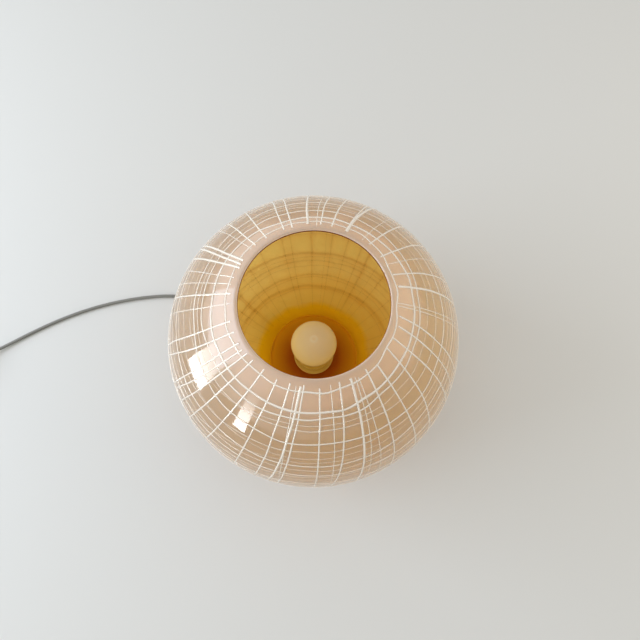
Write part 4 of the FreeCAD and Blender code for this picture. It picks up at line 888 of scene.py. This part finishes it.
# %% Set out the threads
# Widths of the beads in millimetres, and angles in degrees
FINE, THIN, PLAIN, BOLD, BROAD = 0.6, 0.9, 1.8, 2.6, 3.4
SHOULDER_RISE = 30
LEAN_ON = 1.7
DOWN_THREADS = [
    (115, -3, PLAIN), (109, -2, PLAIN), (98, -2, BOLD), (92, -3, THIN), (89, -3, PLAIN), (81, -3, PLAIN),
    (70, -4, BROAD), (70, -1, PLAIN), (57, 0, THIN), (51, 0, PLAIN), (39, 0, PLAIN), (32, -1, THIN),
    (24, -2, PLAIN), (15, -2, BOLD), (3, 1, THIN), (1, 1, THIN), (-6, -6, PLAIN), (-13, -5, PLAIN),
    (-22, -2, PLAIN), (-30, -5, PLAIN), (-42, -2, PLAIN), (-50, -4, PLAIN), (-57, -3, THIN),
    (-59, -5, THIN), (-62, -5, BOLD), (-70, -6, PLAIN), (-76, -3, THIN), (-83, -2, PLAIN),
    (-93, -4, PLAIN), (-95, -5, BOLD), (-98, -1, THIN), (-102, -4, PLAIN), (-111, -4, PLAIN),
    (-122, -6, PLAIN), (-132, -6, PLAIN), (-138, -7, PLAIN), (-142, -8, PLAIN), (-147, -6, PLAIN),
    (-155, -8, PLAIN), (-163, -5, PLAIN), (-175, -5, THIN), (178, -5, PLAIN), (171, -4, THIN),
    (166, -5, THIN), (158, -3, BOLD), (155, -5, BOLD), (152, -4, BOLD), (142, -3, THIN),
    (138, -4, PLAIN), (129, -4, PLAIN),
]
ROUND_THREADS = [
    (57, 59, 57, 57, PLAIN), (51, 53, 55, 52, BOLD), (49, 51, 51, 48, PLAIN), (45, 43, 48, 46, THIN),
    (40, 38, 44, 44, PLAIN), (37, 35, 40, 34, THIN), (30, 31, 35, 32, PLAIN), (27, 28, 30, 28, THIN),
    (24, 21, 22, 24, PLAIN), (16, 13, 17, 15, PLAIN), (7, 9, 5, 8, THIN), (0, -3, 1, -2, PLAIN),
    (47, 47, 46, 42, FINE), (34, 33, 37, 38, FINE), (32, 26, 33, 20, FINE), (22, 24, 27, 18, THIN),
    (20, 18, 25, 11, FINE), (14, 16, 13, 5, THIN), (11, 6, 9, 2, FINE), (4, 2, 20, -6, FINE),
    (-9, -8, -12, -10, PLAIN), (-20, -17, -19, -22, THIN), (-34, -33, -36, -32, BOLD),
    (-37, -36, -39, -36, THIN), (-40, -40, -42, -40, PLAIN), (-45, -45, -46, -43, THIN),
    (-52, -50, -53, -52, PLAIN), (-55, -54, -55, -54, THIN), (-60, -59, -61, -58, BOLD),
    (-63, -62, -63, -61, THIN),
]
THREAD_START = 58.6
THREAD_END = -78
START_SWAY = (-0.5, 0.6)
RISE_SWAY = (-0.4, 0.4)
BEAD_THINNING = 0.5
RISE_STEP = 8
TURN_STEP = 10
SWAY_SEED, DOWN_SEED, ROUND_SEED = 7, 1.0, 2.0
print("threads:", len(DOWN_THREADS), "down and", len(ROUND_THREADS), "round")


# %% Draw a guide for each thread
def on_glass(bearing, rise, depth):
    """A point in metres on the wall of the glass, a depth below its outer face."""
    radius, level = wall_point(rise, depth)
    angle = math.radians(bearing)
    return (radius * math.cos(angle) * MM, radius * math.sin(angle) * MM, level * MM)


def down_guide(bearing, lean, depth):
    """A guide from the mouth, leaning past the shoulder, then straight over the belly to the foot."""
    start = THREAD_START - random.uniform(*START_SWAY)
    points = []
    for step in range(int((start - THREAD_END) / RISE_STEP) + 1):
        rise = start - RISE_STEP * step
        leaned = min((start - rise) / (start - SHOULDER_RISE), LEAN_ON)
        points.append(on_glass(bearing + lean * leaned, rise, depth))
    return points


def round_guide(front, right, back, left, depth):
    """A closed guide round the glass through its rises at the four sides."""
    quarters = [right, back, left, front]
    points = []
    for turn in range(0, 360, TURN_STEP):
        quarter, part = divmod(turn, 90)
        ease = (1 - math.cos(math.pi * part / 90)) / 2
        rise = quarters[quarter] * (1 - ease) + quarters[(quarter + 1) % 4] * ease
        points.append(on_glass(turn, rise + random.uniform(*RISE_SWAY), depth))
    return points


print("a guide bends every", RISE_STEP, "degrees down and", TURN_STEP, "degrees round")


# %% Trail the threads
def trail(name, guides, closed, inputs):
    """One piece of thread from guide lines, each a list of points and a bead width in millimetres."""
    points, edges, widths = [], [], []
    for line_points, bead_width in guides:
        first = len(points)
        points += line_points
        edges += [(first + number, first + number + 1) for number in range(len(line_points) - 1)]
        if closed:
            edges.append((len(points) - 1, first))
        thinning = 0 if closed else BEAD_THINNING / (len(line_points) - 1)
        widths += [bead_width * MM * (1 - thinning * number) for number in range(len(line_points))]
    mesh = bpy.data.meshes.new(name)
    mesh.from_pydata(points, edges, [])
    mesh.attributes.new("bead_width", "FLOAT", "POINT").data.foreach_set("value", widths)
    threads = grown(name, mesh, thread_tree, inputs)
    card_targets.objects.link(threads)
    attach(threads, "lamp")
    print(name + ":", len(guides), "threads,", len(threads.data.polygons), "faces")
    return threads


# White opal glass: milky, smooth and glossy, a little uneven in tone
thread_finish = worked("white_opal_thread", "FBF1E0", "EEE0CA", 14, 3, 0.02, 0.15, IOR=1.5)
# Painted shadow of each thread in the amber: a faint olive ribbon on the inner wall that the glow shows
# through
BEAD_FLATNESS, SHADE_FLATNESS = 0.45, 0.06
SHADE_SPREAD = 1.6
shade_finish = worked("amber_thread_shade", "7A5412", "6A460C", 20, 3, 0.01, 0.5, Alpha=0.06)
for name, depth, flatness, spread, finish in (
    ("", 0, BEAD_FLATNESS, 1.0, thread_finish),
    ("_shade", GLASS_WALL, SHADE_FLATNESS, SHADE_SPREAD, shade_finish),
):
    random.seed(SWAY_SEED)
    inputs = {"Glass": glass, "Flatness": flatness, "Finish": finish}
    down_guides = [(down_guide(*angles, depth), bead * spread) for *angles, bead in DOWN_THREADS]
    trail("down_thread" + name, down_guides, False, {**inputs, "Seed": DOWN_SEED})
    round_guides = [(round_guide(*rises, depth), bead * spread) for *rises, bead in ROUND_THREADS]
    trail("round_thread" + name, round_guides, True, {**inputs, "Seed": ROUND_SEED})

# %% [markdown]
# ## The finishes of the solids
# The other pieces keep their solids or the softened copies. Each record slot is one real material, and
# its finish is made from what that material is. Spun sheet metal has rings round its axis and needs a
# shader of its own. Resin, rubber, wire and the rest differ in a few numbers, so the shader for worked
# surfaces makes them.

# %% Make a shader for spun metal
# Real spinning marks are finer: these are as coarse as they need to be to show
RING_PITCH = 1.4
RING_RELIEF = 0.03


def spun(name, stops, roughness, **more):
    """Coated spun metal: fine rings round the axis, and a colour that follows the radius."""
    material, tree = empty_finish(name)
    place = add(tree, "ShaderNodeTexCoord")
    radius = from_axis(tree, place)
    turns = add(tree, "ShaderNodeMath", {
        0: radius, 1: 2 * math.pi / (RING_PITCH * MM),
    }, operation="MULTIPLY")
    rings = add(tree, "ShaderNodeMath", {0: turns.outputs[0]}, operation="SINE")
    bump = add(tree, "ShaderNodeBump", {
        "Height": rings.outputs[0], "Strength": 0.5, "Distance": RING_RELIEF * MM,
    })
    shader = add(tree, "ShaderNodeBsdfPrincipled", {
        "Base Color": along(tree, radius, stops), "Roughness": roughness,
        "Normal": bump.outputs["Normal"], **more,
    })
    add(tree, "ShaderNodeOutputMaterial", {"Surface": shader.outputs["BSDF"]})
    return material


print("rings every", RING_PITCH, "mm")

# %% Finish the solids
# A worked finish has two colours, then the size of its patches, the size of its grain and the grain's
# height, all in millimetres, then its roughness, and 1 for a metal
FINISHES = {
    # Opal bulb glass: creamy white and even, with a paler ring at the tip
    "opal_glass": worked("opal_bulb_glass", "FCF8EE", "F7F1E2", 25, 6, 0.01, 0.2, mark=(3.6, 3.0),
                         **{"Specular IOR Level": 0.25}),
    # Clear glass: the stem inside the bulb, almost without colour
    "clear_glass": worked("clear_stem_glass", "E4ECEA", "D6E0DE", 20, 5, 0.01, 0.06,
                          **{"Transmission Weight": 0.9}),
    # Stove enamel on a spun pan: dark bronze, with faint rings that catch the light
    "pan_enamel": spun("bronze_stove_enamel", [(0, "3A2D20"), (50, "44352A"), (70, "504032")], 0.34),
    # Lacquer on a spun plate: amber with little shine, red-brown by the bulb as painted shade under the
    # bulb, and gold at the rim as painted light that hides the shadow at its edge
    "plate_lacquer": spun("amber_lacquered_steel", [
        (12, "8A4408"), (36, "A85C0C"), (58, "CC940C"), (63, "D89C10"), (66, "ECB41C"),
    ], 0.5, **{"Specular IOR Level": 0.12}),
    # Zinc plate: pale grey metal, a little cloudy
    "zinc_steel": worked("zinc_plated_steel", "C9CCCB", "AEB2B2", 6, 0.5, 0.02, 0.32, 1.0),
    # Rolled brass: warm metal, dulled in patches
    "brass": worked("rolled_brass", "C9A45A", "A98543", 7, 0.6, 0.02, 0.3, 1.0),
    # Aluminium: the bulb's cap, pale plain metal
    "cap_alloy": worked("bulb_cap_aluminium", "D6D6D2", "BEBEBA", 6, 0.5, 0.02, 0.3, 1.0),
    # Vitrite: glossy black glass round the bulb's contact
    "cap_glass": worked("black_vitrite", "17151A", "0E0D10", 6, 1, 0.02, 0.12),
    # Urea resin: the lampholder, ivory and slightly dull
    "holder_plastic": worked("ivory_urea_resin", "DCC988", "CEB974", 16, 0.7, 0.02, 0.36),
    # Glazed porcelain: off-white and shiny
    "porcelain": worked("glazed_porcelain", "EFEBE2", "E2DCCF", 9, 2, 0.02, 0.14),
    # Silicone: soft, dull and amber, so that the gaskets hide against the glass
    "gasket_rubber": worked("amber_silicone", "D89A18", "C88A10", 10, 0.6, 0.04, 0.6),
    # Wool felt: dull green nap under the base
    "felt": worked("green_wool_felt", "4C5F45", "39492F", 4, 0.8, 0.3, 0.95),
    # Sheath vinyl: mid grey, with a soft sheen along the cord
    "cord_sheath": worked("grey_sheath_vinyl", "807F76", "757369", 30, 0.8, 0.03, 0.42),
    # Moulded nylon: the cord grip, darker grey
    "grip_nylon": worked("grey_moulded_nylon", "6F706C", "626360", 12, 0.7, 0.04, 0.46),
    # Moulded resin: the switch, paler grey than its cord
    "switch_resin": worked("grey_moulded_resin", "8A8B86", "7D7E79", 14, 0.8, 0.05, 0.45),
    # Dark resin: the rocker, near black, so that it stands out from the switch
    "rocker_resin": worked("dark_rocker_resin", "3C3D3B", "313230", 10, 0.7, 0.04, 0.4),
    # Plug resin: mid grey and slightly dull
    "plug_resin": worked("grey_plug_resin", "7B7C78", "6E6F6B", 14, 0.8, 0.05, 0.48),
    # Sleeve resin: smooth black round the plug's pins
    "sleeve_resin": worked("black_sleeve_resin", "1F1F20", "161617", 8, 0.6, 0.03, 0.4),
    # Lead vinyl: the brown and the blue of the two cores inside
    "live_wire": worked("brown_lead_vinyl", "6B3F22", "5A341B", 10, 0.6, 0.03, 0.4),
    "neutral_wire": worked("blue_lead_vinyl", "2F66A8", "265793", 10, 0.6, 0.03, 0.4),
    # Tungsten: dull grey wire
    "filament_wire": worked("grey_tungsten", "6A6A6C", "565658", 3, 0.3, 0.02, 0.35, 1.0),
    # Woven nylon: the tie, black and slightly dull
    "tie_strap": worked("black_tie_nylon", "242526", "1A1B1C", 8, 0.6, 0.04, 0.42),
}
for part in frame["record"]["subparts"]:
    finish = FINISHES.get(part["material_slot"])
    if finish:
        mesh = nodes[part["node"]].data
        mesh.materials.clear()
        mesh.materials.append(finish)
for node, piece in fittings.items():
    piece.data.materials.append(FINISHES[EASED[node][1]])
tie_mesh.materials.append(FINISHES["tie_strap"])
for cord in (lamp_cord, plug_cord):
    cord.data.materials.append(FINISHES["cord_sheath"])
print("finishes:", len(FINISHES))
